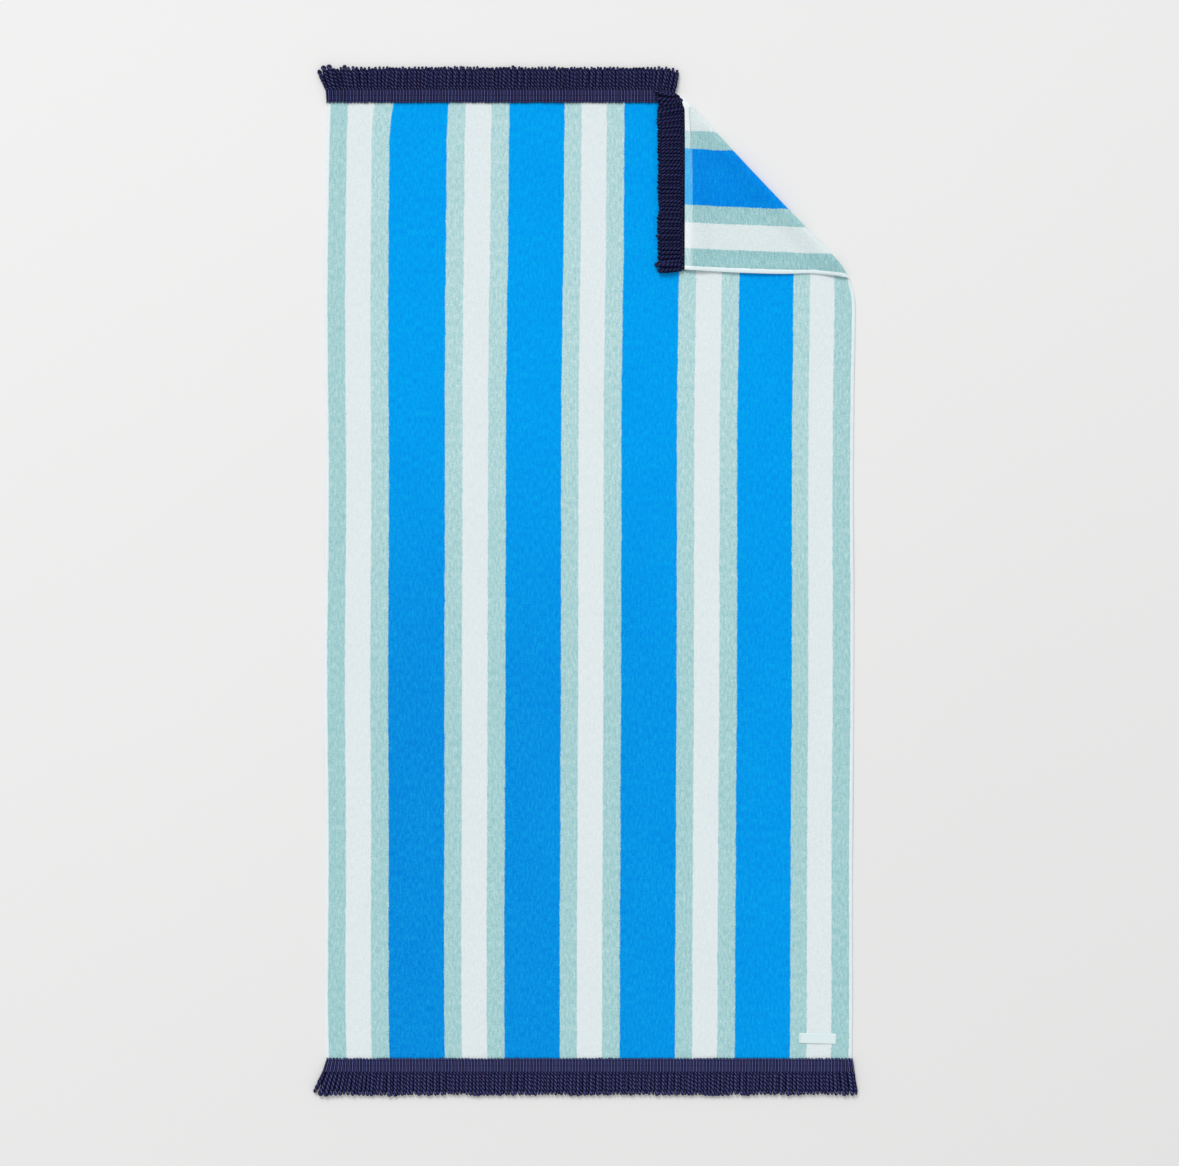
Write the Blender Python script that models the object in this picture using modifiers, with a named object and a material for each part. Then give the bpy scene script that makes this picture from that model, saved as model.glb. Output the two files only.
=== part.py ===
"""A striped terry beach towel laid flat, its top right corner turned down over the front.

Metres, +Z up. The origin is the middle of the cloth's underside, on the surface that it lies on.
+X runs across the towel and +Y along it, towards the end with the turned corner.

Solids: the cloth with its hems, a twisted-cord fringe on each end with its own flat heading, and a small
woven label. The top fringe is two solids, one on each side of the fold. Sewn pieces lie 0.3 mm apart.
"""

import math
import random

import bmesh
import bpy
from mathutils import Vector

MM = 0.001

# The cloth, opened out flat
CLOTH_WIDTH = 900 * MM
CLOTH_LENGTH = 1664.4 * MM
CLOTH_THICK = 3.0 * MM
SEWN_GAP = 0.3 * MM
HALF = CLOTH_THICK / 2
CLOTH_TOP = CLOTH_THICK + SEWN_GAP  # where a piece that lies on the cloth starts

# Stripes run the whole length: hem, then aqua-white-aqua between blues, then hem
HEM = 6.0 * MM
AQUA = 28.9 * MM
WHITE = 44.2 * MM
BLUE = 94.5 * MM
BLUE_STRIPES = 4
CLOTH_ROWS = 26

# The turned corner: the crease's outer line from the top edge to the right edge, and where the corner lands
CREASE_TOP = Vector((148.6 * MM, CLOTH_LENGTH / 2))
CREASE_SIDE = Vector((CLOTH_WIDTH / 2, 514.9 * MM))
CORNER = Vector((CLOTH_WIDTH / 2, CLOTH_LENGTH / 2))
CORNER_LANDS = Vector((161.3 * MM, 527.9 * MM))
ROLL_RADIUS = 5.0 * MM  # of the cloth's middle surface, where it turns over
ROLL_STEPS = 6
DROP = 35 * MM  # the flap comes down from the roll to rest within this
FLAP_ROWS = (8 * MM, 20 * MM, DROP, 60 * MM)
NARROWEST = 0.6  # the least share of its width that the flap keeps where its edge is pulled straight

# How the cloth lies: drawn in at its ends, a little wavy along its sides, and round where the crease ends
DRAWN_IN = 3.4 * MM
DRAWN_REACH = 35 * MM
SIDE_SWAY = 1.2 * MM
SWAY_LENGTH = 620 * MM
SIDE_LIFT = 1.2 * MM
LIFT_LENGTH = 410 * MM
LIFT_PHASE = math.radians(70)  # of the right side's waves, so that the two sides differ
LIFT_BAND = 30 * MM
ROUNDED_BY = Vector((-7.0 * MM, -2.8 * MM))
ROUNDED_REACH = 18 * MM

# The fringe: a woven heading with its cords hanging from the outer edge
HEADING_WIDTH = 20.4 * MM
HEADING_THICK = 2.8 * MM
HEADING_STANDS_OUT = 0.6 * MM  # past the cloth's end, so that the cords clear it
HEADING_LEFT = -446.6 * MM
HEADING_RIGHT = 445.6 * MM
CREASE_CLEAR = 7.0 * MM  # from the crease's outer line to a heading's end, inside the fold
CORD_WIDTH = 4.4 * MM
CORD_HEIGHT = 4.6 * MM
CORDS_BOTTOM = 150
CORDS_TOP = 98
CORDS_TURNED = 46
REACH_BOTTOM = 44 * MM
REACH_TOP = 41 * MM
REACH_TURNED = 45 * MM
REACH_VARIES = 1.6 * MM
CORD_WANDERS = 0.35 * MM
LEAN_FADES = 6  # cords, from a run's end, over which the outward lean dies away
CORDS_OVER_HEADING = 2  # of the turned run, the last ones, which lie across the top heading

# One row for each section of a cord after its root: share of the reach, share of the height and of the width
CORD_SECTIONS = (
    {"reach": 0.20, "height": 1.00, "width": 1.00},
    {"reach": 0.62, "height": 1.00, "width": 1.00},
    {"reach": 1.00, "height": 0.70, "width": 0.72},
)

# The label, sewn on by its two ends
LABEL_LONG = 63 * MM
LABEL_WIDE = 17.5 * MM
LABEL_THICK = 0.6 * MM
LABEL_RISES = 0.9 * MM
LABEL_CELLS = 8
LABEL_PLACE = Vector((387.8 * MM, -778.6 * MM))
LABEL_TURNED = math.radians(-1.5)

# Colours and roughness
TERRY_BLUE = (0.004, 0.300, 0.810)
TERRY_AQUA = (0.400, 0.650, 0.680)
TERRY_WHITE = (0.760, 0.840, 0.850)
CORD_NAVY = (0.024, 0.026, 0.075)
TAPE_WHITE = (0.730, 0.810, 0.830)
TERRY_ROUGH = 0.95
CORD_ROUGH = 0.75
TAPE_ROUGH = 0.65

ALONG = (CREASE_SIDE - CREASE_TOP).normalized()
OUTWARD = Vector((-ALONG.y, ALONG.x))
CREASE_SLOPE = -ALONG.y / ALONG.x


def smooth(value, low, high):
    """0 below low, 1 above high, and an S-curve between them."""
    share = min(max((value - low) / (high - low), 0.0), 1.0)
    return share * share * (3 - 2 * share)


def crease_x(y):
    """Where the crease's line crosses this y."""
    return CREASE_TOP.x + (CREASE_TOP.y - y) / CREASE_SLOPE


def flap_shrink_and_shear():
    """How much the flap is drawn together and slid along the crease, so that the corner lands in its place."""
    start = CREASE_TOP - OUTWARD * HALF
    quarter = math.pi / 2 * ROLL_RADIUS
    flat_out = (CORNER - start).dot(OUTWARD) - (math.pi / 2 - 1) * ROLL_RADIUS - quarter
    landed_in = (start - CORNER_LANDS).dot(OUTWARD) - ROLL_RADIUS
    slid = (CORNER_LANDS - start).dot(ALONG) - (CORNER - start).dot(ALONG)
    return landed_in / flat_out, slid / landed_in


FLAP_SHRINK, FLAP_SHEAR = flap_shrink_and_shear()


def straightened(plan, weight):
    """Slides the flap sideways, most at its end edge and not at the crease, so that the edge runs along +Y."""
    down = (CREASE_TOP.y - plan.y) / (CREASE_TOP.y - CORNER_LANDS.y)
    edge = CREASE_TOP.x + (CORNER_LANDS.x - CREASE_TOP.x) * down
    width = max(crease_x(plan.y) - edge, 1e-6)
    slide = min(max(CORNER_LANDS.x - edge, 0.0), (1 - NARROWEST) * width)
    share = min(max((plan.x - edge) / width, 0.0), 1.0)
    return Vector((plan.x + weight * slide * (1 - share), plan.y))


def settled(plan):
    """The small unevenness of the cloth's outline: drawn-in ends, wavy sides and the rounded end of the crease."""
    x_share = plan.x / (CLOTH_WIDTH / 2)
    from_end = CLOTH_LENGTH / 2 - abs(plan.y)
    drawn = DRAWN_IN * math.exp(-from_end / DRAWN_REACH)
    if plan.x > 0 and plan.y > 0:
        drawn = 0.0
    sway = SIDE_SWAY * math.sin(2 * math.pi * plan.y / SWAY_LENGTH)
    moved = Vector((plan.x - drawn * x_share + sway * abs(x_share) ** 3, plan.y))
    near = (plan - CREASE_SIDE).length / ROUNDED_REACH
    return moved + ROUNDED_BY * math.exp(-near * near / 2)


def side_lift(plan):
    """How far the side hems stand off the surface, in long low waves that die out at the ends and the fold."""
    at_side = smooth(abs(plan.x), CLOTH_WIDTH / 2 - LIFT_BAND, CLOTH_WIDTH / 2)
    upper_end = 720 * MM if plan.x < 0 else 430 * MM
    open_run = smooth(plan.y, -720 * MM, -600 * MM) * (1 - smooth(plan.y, upper_end - 120 * MM, upper_end))
    phase = 0.0 if plan.x < 0 else LIFT_PHASE
    wave = max(math.sin(2 * math.pi * plan.y / LIFT_LENGTH + phase), 0.0)
    return SIDE_LIFT * at_side * open_run * wave


def laid(flat):
    """The place in the laid towel of a point of the flat cloth's middle surface.

    Short of the crease the cloth stays where it is. It turns over on a roll, and past that it lies on itself,
    drawn together a little, and higher over the heading that it covers.
    """
    start = CREASE_TOP - OUTWARD * HALF
    slid = (flat - start).dot(ALONG)
    past = (flat - start).dot(OUTWARD) - (math.pi / 2 - 1) * ROLL_RADIUS
    quarter = math.pi / 2 * ROLL_RADIUS
    if past <= -quarter:
        plan = settled(flat)
        return Vector((plan.x, plan.y, HALF + side_lift(flat)))
    if past < quarter:
        angle = past / ROLL_RADIUS
        inward = ROLL_RADIUS * (1 - math.cos(angle))
        height = HALF + ROLL_RADIUS * (1 + math.sin(angle))
        weight = max(math.sin(angle), 0.0)
    else:
        inward = ROLL_RADIUS + FLAP_SHRINK * (past - quarter)
        slid += FLAP_SHEAR * (inward - ROLL_RADIUS)
        over_heading = 1 - smooth(CLOTH_LENGTH / 2 - flat.y, 25 * MM, 55 * MM)
        rest = CLOTH_TOP + HALF + over_heading * (HEADING_THICK + SEWN_GAP)
        roll_top = HALF + 2 * ROLL_RADIUS
        height = rest + (roll_top - rest) * (1 - smooth(inward, ROLL_RADIUS, ROLL_RADIUS + DROP))
        weight = 1.0
    plan = settled(straightened(start + ALONG * slid - OUTWARD * inward, weight))
    return Vector((plan.x, plan.y, height))


def plain_material(name, colour, roughness):
    """A matt textile material of one colour."""
    material = bpy.data.materials.new(name)
    material.use_nodes = True
    shader = material.node_tree.nodes["Principled BSDF"]
    shader.inputs["Base Color"].default_value = (*colour, 1)
    shader.inputs["Roughness"].default_value = roughness
    shader.inputs["Metallic"].default_value = 0.0
    return material


def new_object(name, mesh, collection, materials):
    """Puts a bmesh into an object of this name, in this collection, with these materials."""
    data = bpy.data.meshes.new(name)
    mesh.to_mesh(data)
    mesh.free()
    for material in materials:
        data.materials.append(material)
    made = bpy.data.objects.new(name, data)
    collection.objects.link(made)
    return made


def stripe_widths():
    """(material number, width) of each stripe from the left edge to the right: 0 white, 1 aqua, 2 blue."""
    inner = [(1, AQUA), (0, WHITE), (1, AQUA)]
    return [(0, HEM)] + (inner + [(2, BLUE)]) * BLUE_STRIPES + inner + [(0, HEM)]


def cut_across(mesh, point, normal):
    """Cuts every face of a flat mesh along the line through this point."""
    bmesh.ops.bisect_plane(
        mesh,
        geom=mesh.verts[:] + mesh.edges[:] + mesh.faces[:],
        dist=0.1 * MM,
        plane_co=(point.x, point.y, 0),
        plane_no=(normal.x, normal.y, 0),
    )


def make_cloth(collection):
    """The terry panel: a flat grid with a column for each stripe, cut along the rows of the fold, then laid."""
    stripes = stripe_widths()
    edges = [-CLOTH_WIDTH / 2]
    for _, width in stripes:
        edges.append(edges[-1] + width)
    panel = bmesh.new()
    bmesh.ops.create_grid(panel, x_segments=len(stripes), y_segments=CLOTH_ROWS, size=0.5)
    for vert in panel.verts:
        column = round((vert.co.x + 0.5) * len(stripes))
        vert.co = (edges[column], vert.co.y * CLOTH_LENGTH, 0)
    for face in panel.faces:
        column = sum(edge < face.calc_center_median().x for edge in edges) - 1
        face.material_index = stripes[column][0]

    quarter = math.pi / 2 * ROLL_RADIUS
    turn = [-quarter + 2 * quarter * step / ROLL_STEPS for step in range(ROLL_STEPS + 1)]
    flap = [quarter + row for row in FLAP_ROWS]
    fold_line = CREASE_TOP + OUTWARD * ((math.pi / 2 - 1) * ROLL_RADIUS - HALF)
    for past in turn + flap:
        cut_across(panel, fold_line + OUTWARD * past, OUTWARD)
    for from_end in (25 * MM, 55 * MM):
        cut_across(panel, Vector((0, CLOTH_LENGTH / 2 - from_end)), Vector((0, 1)))
    bmesh.ops.remove_doubles(panel, verts=panel.verts[:], dist=0.5 * MM)
    bmesh.ops.triangulate(panel, faces=panel.faces[:])
    for vert in panel.verts:
        vert.co = laid(Vector((vert.co.x, vert.co.y)))
    panel.normal_update()

    materials = [
        plain_material("terry_white", TERRY_WHITE, TERRY_ROUGH),
        plain_material("terry_aqua", TERRY_AQUA, TERRY_ROUGH),
        plain_material("terry_blue", TERRY_BLUE, TERRY_ROUGH),
    ]
    cloth = new_object("towel", panel, collection, materials)
    pile = cloth.modifiers.new("pile", "SOLIDIFY")
    pile.thickness = CLOTH_THICK
    pile.offset = 0
    pile.use_even_offset = True


def heading_strip(run, cords, slant, base):
    """A flat heading as a closed mesh: x along the run, its outer edge at y = 0, its underside at z = base.

    Its cells alternate, space and cord, so that each cord has a face of its own to grow from. The inner edge
    is longer than the outer one by slant.
    """
    pitch = run / cords
    cells = 2 * cords + 1
    strip = bmesh.new()
    bmesh.ops.create_grid(strip, x_segments=cells, y_segments=1, size=0.5)
    for vert in strip.verts:
        column = round((vert.co.x + 0.5) * cells)
        number, right_side = divmod(column - 1, 2)
        x = pitch * (number + 0.5) + CORD_WIDTH * (right_side - 0.5)
        x = min(max(x, 0.0), run) if 0 < column < cells else run * (column == cells)
        inner = vert.co.y < 0
        vert.co = (x * (run + slant) / run if inner else x, -HEADING_WIDTH if inner else 0.0, base)
    grown = bmesh.ops.extrude_face_region(strip, geom=strip.faces[:], use_keep_orig=True)
    upper = [item for item in grown["geom"] if isinstance(item, bmesh.types.BMVert)]
    bmesh.ops.translate(strip, verts=upper, vec=(0, 0, HEADING_THICK))
    bmesh.ops.recalc_face_normals(strip, faces=strip.faces[:])
    return strip


def by_x(faces):
    """The faces from left to right."""
    return sorted(faces, key=lambda face: face.calc_center_median().x)


def grow_cords(strip, run, cords, reach, leans, raised, seed):
    """Draws the cords out of the heading's outer edge, section by section, down to rest level at z = 0.

    The last cords, as many as raised says, lie higher, across a heading.
    """
    draw = random.Random(seed)
    lengths = [reach + draw.uniform(-1, 1) * REACH_VARIES for _ in range(cords)]
    wanders = [[draw.uniform(-1, 1) * CORD_WANDERS for _ in CORD_SECTIONS] for _ in range(cords)]
    pitch = run / cords
    outer = [face for face in strip.faces if face.calc_center_median().y > -0.01 * MM]
    ends = by_x(outer)[1::2]
    for level, section in enumerate(CORD_SECTIONS):
        ends = by_x(bmesh.ops.extrude_discrete_faces(strip, faces=ends)["faces"])
        for number, face in enumerate(ends):
            out = lengths[number] * section["reach"]
            lean = leans[1] * math.exp(-(cords - 1 - number) / LEAN_FADES)
            lean -= leans[0] * math.exp(-number / LEAN_FADES)
            middle = pitch * (number + 0.5) + lean * out * section["reach"] + wanders[number][level]
            centre = face.calc_center_median()
            half_width = CORD_WIDTH / 2 * section["width"]
            underside = HEADING_THICK + SEWN_GAP if number >= cords - raised else 0.0
            for vert in face.verts:
                x = middle + math.copysign(half_width, vert.co.x - centre.x)
                height = CORD_HEIGHT * section["height"] if vert.co.z > centre.z else 0.0
                vert.co = (x, out, underside + height)


def make_fringe(
    collection, material, name, run, cords, reach, rest, leans, place, turned, slant=0.0, raised=0
):
    """A heading with its cords, whose cords rest on the height given, put in place and turned about +Z.

    Its run starts at place and goes along its own +X; leans are the outward slopes of its first and last cords.
    """
    strip = heading_strip(run, cords, slant, CLOTH_TOP - rest)
    grow_cords(strip, run, cords, reach, leans, raised, seed=cords)
    strip.normal_update()
    made = new_object(name, strip, collection, [material])
    made.location = (place.x, place.y, rest)
    made.rotation_euler.z = turned


def make_fringes(collection):
    """The fringe on the bottom end, and the one on the top end as its two runs, before and after the fold."""
    navy = plain_material("cord_navy", CORD_NAVY, CORD_ROUGH)
    end = CLOTH_LENGTH / 2 + HEADING_STANDS_OUT
    make_fringe(
        collection, navy, "fringe_bottom",
        run=HEADING_RIGHT - HEADING_LEFT, cords=CORDS_BOTTOM, reach=REACH_BOTTOM, rest=0.0,
        leans=(0.21, 0.32), place=Vector((HEADING_RIGHT, -end)), turned=math.pi,
    )
    clear = CREASE_CLEAR / OUTWARD.x
    top_run_ends = crease_x(end) - clear
    make_fringe(
        collection, navy, "fringe_top",
        run=top_run_ends - HEADING_LEFT, cords=CORDS_TOP, reach=REACH_TOP, rest=0.0,
        leans=(0.35, 0.19), place=Vector((HEADING_LEFT, end)), turned=0.0,
        slant=HEADING_WIDTH / CREASE_SLOPE,
    )
    edge = CORNER_LANDS.x - HEADING_STANDS_OUT
    turned_run_ends = CREASE_TOP.y - (edge - CREASE_TOP.x) * CREASE_SLOPE - CREASE_CLEAR / OUTWARD.y
    make_fringe(
        collection, navy, "fringe_turned",
        run=turned_run_ends - CORNER_LANDS.y, cords=CORDS_TURNED, reach=REACH_TURNED, rest=CLOTH_TOP,
        leans=(0.0, 0.35), place=Vector((edge, CORNER_LANDS.y)), turned=math.pi / 2,
        slant=-HEADING_WIDTH * CREASE_SLOPE, raised=CORDS_OVER_HEADING,
    )


def make_label(collection):
    """The woven label: a thin tape that lies on the cloth at its sewn ends and rises a little between them."""
    tape = bmesh.new()
    bmesh.ops.create_grid(tape, x_segments=LABEL_CELLS, y_segments=1, size=0.5)
    for vert in tape.verts:
        rise = LABEL_RISES * math.cos(math.pi * vert.co.x) ** 2
        vert.co = (vert.co.x * LABEL_LONG, vert.co.y * LABEL_WIDE, rise)
    tape.normal_update()
    white = plain_material("tape_white", TAPE_WHITE, TAPE_ROUGH)
    label = new_object("sewn_label", tape, collection, [white])
    label.location = (LABEL_PLACE.x, LABEL_PLACE.y, CLOTH_TOP)
    label.rotation_euler.z = LABEL_TURNED
    weave = label.modifiers.new("weave", "SOLIDIFY")
    weave.thickness = LABEL_THICK
    weave.offset = 1


def main():
    for old in list(bpy.data.objects):
        bpy.data.objects.remove(old, do_unlink=True)
    towel = bpy.data.collections.new("beach_towel")
    bpy.context.scene.collection.children.link(towel)
    make_cloth(towel)
    make_fringes(towel)
    make_label(towel)


main()
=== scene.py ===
"""A striped terry beach towel, laid flat with one corner turned down over its front.

The cloth is one sheet on the fold of its solid, with hems and a terry surface. A navy fringe of twisted
yarn loops is sewn on both ends: each yarn runs through a flat heading as a rib, comes out of it, twists
with its neighbour into a rope, turns back at the rope's tip and runs up again. Metres, +Z up.
"""

import logging
import math
from dataclasses import dataclass
from enum import Enum

import bpy
import numpy as np
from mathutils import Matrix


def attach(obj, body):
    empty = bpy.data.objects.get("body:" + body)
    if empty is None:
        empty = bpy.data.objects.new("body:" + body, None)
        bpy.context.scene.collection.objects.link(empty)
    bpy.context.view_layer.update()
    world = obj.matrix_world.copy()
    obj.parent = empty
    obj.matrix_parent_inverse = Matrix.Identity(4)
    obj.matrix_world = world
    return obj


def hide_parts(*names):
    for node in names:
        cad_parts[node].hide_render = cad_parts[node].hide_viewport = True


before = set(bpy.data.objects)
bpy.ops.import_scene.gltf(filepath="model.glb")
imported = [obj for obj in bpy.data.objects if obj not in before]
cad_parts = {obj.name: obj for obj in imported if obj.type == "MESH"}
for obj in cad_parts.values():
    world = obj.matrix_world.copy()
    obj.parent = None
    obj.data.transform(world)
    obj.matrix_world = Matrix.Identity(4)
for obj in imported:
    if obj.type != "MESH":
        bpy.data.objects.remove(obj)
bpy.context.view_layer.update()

Array = np.ndarray
Colour = tuple[float, float, float]
MM = 0.001
BODY = "root"
LOG = logging.getLogger("beach_towel")
UP = np.array([0, 0, 1.0])
SWELL_WAVES = 9  # how many sines are added up in the swells


# ---------------------------------------------------------------------------------------------- shapes


def ease(value: Array, low: float, high: float) -> Array:
    """An S-curve from 0 at low to 1 at high: 3s^2 - 2s^3, with s the share of the way.

    Args:
        value: Where the curve is read, an array of any shape.
        low: Where the curve leaves 0.
        high: Where it reaches 1.

    Returns:
        The curve's value at each entry.
    """
    share = np.clip((value - low) / (high - low), 0, 1)
    return share * share * (3 - 2 * share)


def unit(vectors: Array) -> Array:
    """The vectors along the last axis, each made 1 long."""
    return vectors / np.maximum(np.linalg.norm(vectors, axis=-1, keepdims=True), 1e-12)


def stops(*stretches: tuple[float, float, float]) -> Array:
    """Grid stops along a line.

    Args:
        stretches: (start, end, widest step) of each stretch; each starts where the last one ended.

    Returns:
        The stops in order, with every stretch's ends among them.
    """
    parts = [
        np.linspace(start, end, max(math.ceil((end - start) / step), 1) + 1)[:-1]
        for start, end, step in stretches
    ]
    return np.concatenate([*parts, [stretches[-1][1]]])


def swells(flat: Array, seed: int, lengths: tuple[float, float]) -> Array:
    """Low soft waves over a plane: the mean of sines that run in random directions.

    Args:
        flat: Points of the plane, (..., 2).
        seed: Picks the directions, lengths and phases.
        lengths: The shortest and the longest wave.

    Returns:
        The height at each point, mostly between -1 and 1.
    """
    draw = np.random.default_rng(seed)
    turn, phase = draw.uniform(0, 2 * np.pi, (2, SWELL_WAVES))
    number = 2 * np.pi / draw.uniform(*lengths, SWELL_WAVES)
    across = flat[..., 0, None] * np.cos(turn) + flat[..., 1, None] * np.sin(turn)
    return np.sin(across * number + phase).sum(-1) / math.sqrt(SWELL_WAVES)


@dataclass
class Surface:
    """A mesh made of quads: its points, its faces and what its material reads."""

    points: Array
    quads: Array
    corner_map: Array | None = None  # (faces, 4, 2): the map's place at each face corner, in metres
    face_values: dict[str, Array] | None = None
    point_values: dict[str, Array] | None = None

    def joined(self, other: "Surface") -> "Surface":
        """This surface and another one as one mesh.

        Args:
            other: A surface with the same kinds of values.

        Returns:
            The two together, this one's points first.
        """
        values = {
            name: np.concatenate([mine, other.point_values[name]])
            for name, mine in (self.point_values or {}).items()
        }
        return Surface(
            np.concatenate([self.points, other.points]),
            np.concatenate([self.quads, other.quads + len(self.points)]),
            np.concatenate([self.corner_map, other.corner_map]),
            None,
            values,
        )


def slab(top: Array, bottom: Array, flat: Array) -> Surface:
    """A closed sheet between two grids of points that match: both faces and the rim between them.

    Args:
        top: The upper face's points, (rows, columns, 3), with columns along the first map axis.
        bottom: The lower face's points, as many.
        flat: The map's place of each point, (rows, columns, 2).

    Returns:
        The sheet, with a face value "back_side" that is 1 on the lower face.
    """
    rows, columns = top.shape[:2]
    number = np.arange(rows * columns).reshape(rows, columns)
    upper = np.stack([number[:-1, :-1], number[:-1, 1:], number[1:, 1:], number[1:, :-1]], -1)
    upper = upper.reshape(-1, 4)
    lower = upper[:, ::-1] + number.size
    ring = np.concatenate([number[0, :-1], number[:-1, -1], number[-1, :0:-1], number[:0:-1, 0]])
    after = np.roll(ring, -1)
    rim = np.stack([ring + number.size, after + number.size, after, ring], -1)
    quads = np.concatenate([upper, lower, rim])
    place = np.tile(flat.reshape(-1, 2), (2, 1))
    back = np.concatenate([np.zeros(len(upper)), np.ones(len(lower)), np.zeros(len(rim))])
    points = np.concatenate([top.reshape(-1, 3), bottom.reshape(-1, 3)])
    return Surface(points, quads, place[quads], {"back_side": back})


def tubes(path: Array, side: Array, facing: Array, radii: Array, sides: int, tone: Array) -> Surface:
    """Round closed tubes along many paths at once.

    A ring stands across each point of a path, at path + radius * (cos a * n + sin a * b), where n is side
    made square to the path and b is square to both. A fan of quads closes each end.

    Args:
        path: Points of the paths, (tubes, sections, 3).
        side: A direction at each point that is never along the path, (tubes, sections, 3).
        facing: The direction at each point in which the tube lies open to view, (tubes, sections, 3).
        radii: The tube's radius at each point, (tubes, sections).
        sides: An even number of sides.
        tone: How light the yarn is drawn at each point, its own tone with any painted light and shade,
        (tubes, sections), kept on the points as "tone".

    Returns:
        The tubes. Their map runs round them and along them in metres, and each point keeps a value for
        painted light and shade that goes from 0 where the tube faces away from view, in the grooves, to 1
        where it faces out.
    """
    count, sections = path.shape[:2]
    along = unit(np.gradient(path, axis=1))
    normal = unit(side - (side * along).sum(-1, keepdims=True) * along)
    binormal = np.cross(along, normal)
    angle = np.arange(sides) * 2 * np.pi / sides
    ring = np.cos(angle)[:, None] * normal[:, :, None] + np.sin(angle)[:, None] * binormal[:, :, None]
    points = path[:, :, None] + radii[:, :, None, None] * ring
    painted_crest_light = 0.5 + 0.5 * (ring * facing[:, :, None]).sum(-1)
    number = np.arange(points.size // 3).reshape(count, sections, sides)
    after = np.roll(number, -1, axis=2)
    quads = np.stack([number[:, :-1], after[:, :-1], after[:, 1:], number[:, 1:]], -1).reshape(-1, 4)

    step = np.linalg.norm(np.diff(path, axis=1), axis=-1)
    length = np.concatenate([np.zeros((count, 1)), np.cumsum(step, axis=1)], axis=1)
    shape = (count, sections - 1, sides)
    low = np.broadcast_to(length[:, :-1, None], shape)
    high = np.broadcast_to(length[:, 1:, None], shape)
    round_it = 2 * np.pi * radii.mean() / sides
    left = np.broadcast_to(np.arange(sides) * round_it, shape)
    right = left + round_it
    around = np.stack([left, right, right, left], -1)
    corner_map = np.stack([around, np.stack([low, low, high, high], -1)], -1).reshape(-1, 4, 2)

    fan = np.array([[0, k, k + 1, k + 2] for k in range(1, sides - 2, 2)])
    ends = np.concatenate([number[:, 0][:, fan[:, ::-1]], number[:, -1][:, fan]]).reshape(-1, 4)
    corner_map = np.concatenate([corner_map, np.zeros((len(ends), 4, 2))])
    values = {"tone": np.repeat(tone.ravel(), sides), "painted_crest_light": painted_crest_light.ravel()}
    return Surface(points.reshape(-1, 3), np.concatenate([quads, ends]), corner_map, None, values)


def new_piece(name: str, surface: Surface, material: bpy.types.Material) -> bpy.types.Object:
    """Puts a surface into an object that rides on the towel.

    Args:
        name: The piece's name.
        surface: Its mesh.
        material: What it is made of.

    Returns:
        The new object, at the origin.
    """
    mesh = bpy.data.meshes.new(name)
    mesh.vertices.add(len(surface.points))
    mesh.vertices.foreach_set("co", surface.points.astype(np.float32).ravel())
    mesh.loops.add(surface.quads.size)
    mesh.loops.foreach_set("vertex_index", surface.quads.astype(np.int32).ravel())
    mesh.polygons.add(len(surface.quads))
    mesh.polygons.foreach_set("loop_start", np.arange(0, surface.quads.size, 4, dtype=np.int32))
    mesh.update(calc_edges=True)
    mesh.shade_smooth()
    layer = mesh.uv_layers.new(name="flat")
    layer.uv.foreach_set("vector", surface.corner_map.astype(np.float32).ravel())
    for domain, values in (("FACE", surface.face_values), ("POINT", surface.point_values)):
        for key, value in (values or {}).items():
            mesh.attributes.new(key, "FLOAT", domain).data.foreach_set("value", value.astype(np.float32))
    mesh.materials.append(material)
    made = bpy.data.objects.new(name, mesh)
    bpy.context.scene.collection.objects.link(made)
    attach(made, BODY)
    return made


# -------------------------------------------------------------------------------------------- finishes


def feed(tree: bpy.types.NodeTree, node: bpy.types.Node, inputs: dict) -> bpy.types.Node:
    """Links or sets a node's inputs.

    Args:
        tree: The tree that it is in.
        node: The node.
        inputs: A value or another node's output for each input, by its name or number.

    Returns:
        The node.
    """
    for key, value in inputs.items():
        if isinstance(value, bpy.types.NodeSocket):
            tree.links.new(value, node.inputs[key])
        else:
            node.inputs[key].default_value = value
    return node


def add(tree: bpy.types.NodeTree, kind: str, inputs: dict, **settings: object) -> bpy.types.Node:
    """Adds a node, sets it up and feeds it.

    Args:
        tree: The tree that it goes into.
        kind: The node's type.
        inputs: A value or another node's output for each input, by its name or number.
        settings: The node's own properties.

    Returns:
        The node.
    """
    made = tree.nodes.new(kind)
    for key, value in settings.items():
        setattr(made, key, value)
    return feed(tree, made, inputs)


def reckon(tree: bpy.types.NodeTree, operation: str, *values: object) -> bpy.types.NodeSocket:
    """The output of a Math node on these values."""
    return add(tree, "ShaderNodeMath", dict(enumerate(values)), operation=operation).outputs[0]


def ramped(
    tree: bpy.types.NodeTree, value: bpy.types.NodeSocket, low: float, high: float
) -> bpy.types.NodeSocket:
    """A value's share of the way from low to high, kept between 0 and 1, along an S-curve."""
    spread = {"Value": value, "From Min": low, "From Max": high}
    return add(tree, "ShaderNodeMapRange", spread, interpolation_type="SMOOTHSTEP").outputs["Result"]


def mix_colour(tree: bpy.types.NodeTree, factor: object, first: object, second: object) -> object:
    """The output of a Mix node: the first colour at a factor of 0, and the second at 1."""
    return add(tree, "ShaderNodeMix", {0: factor, 6: first, 7: second}, data_type="RGBA").outputs[2]


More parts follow.
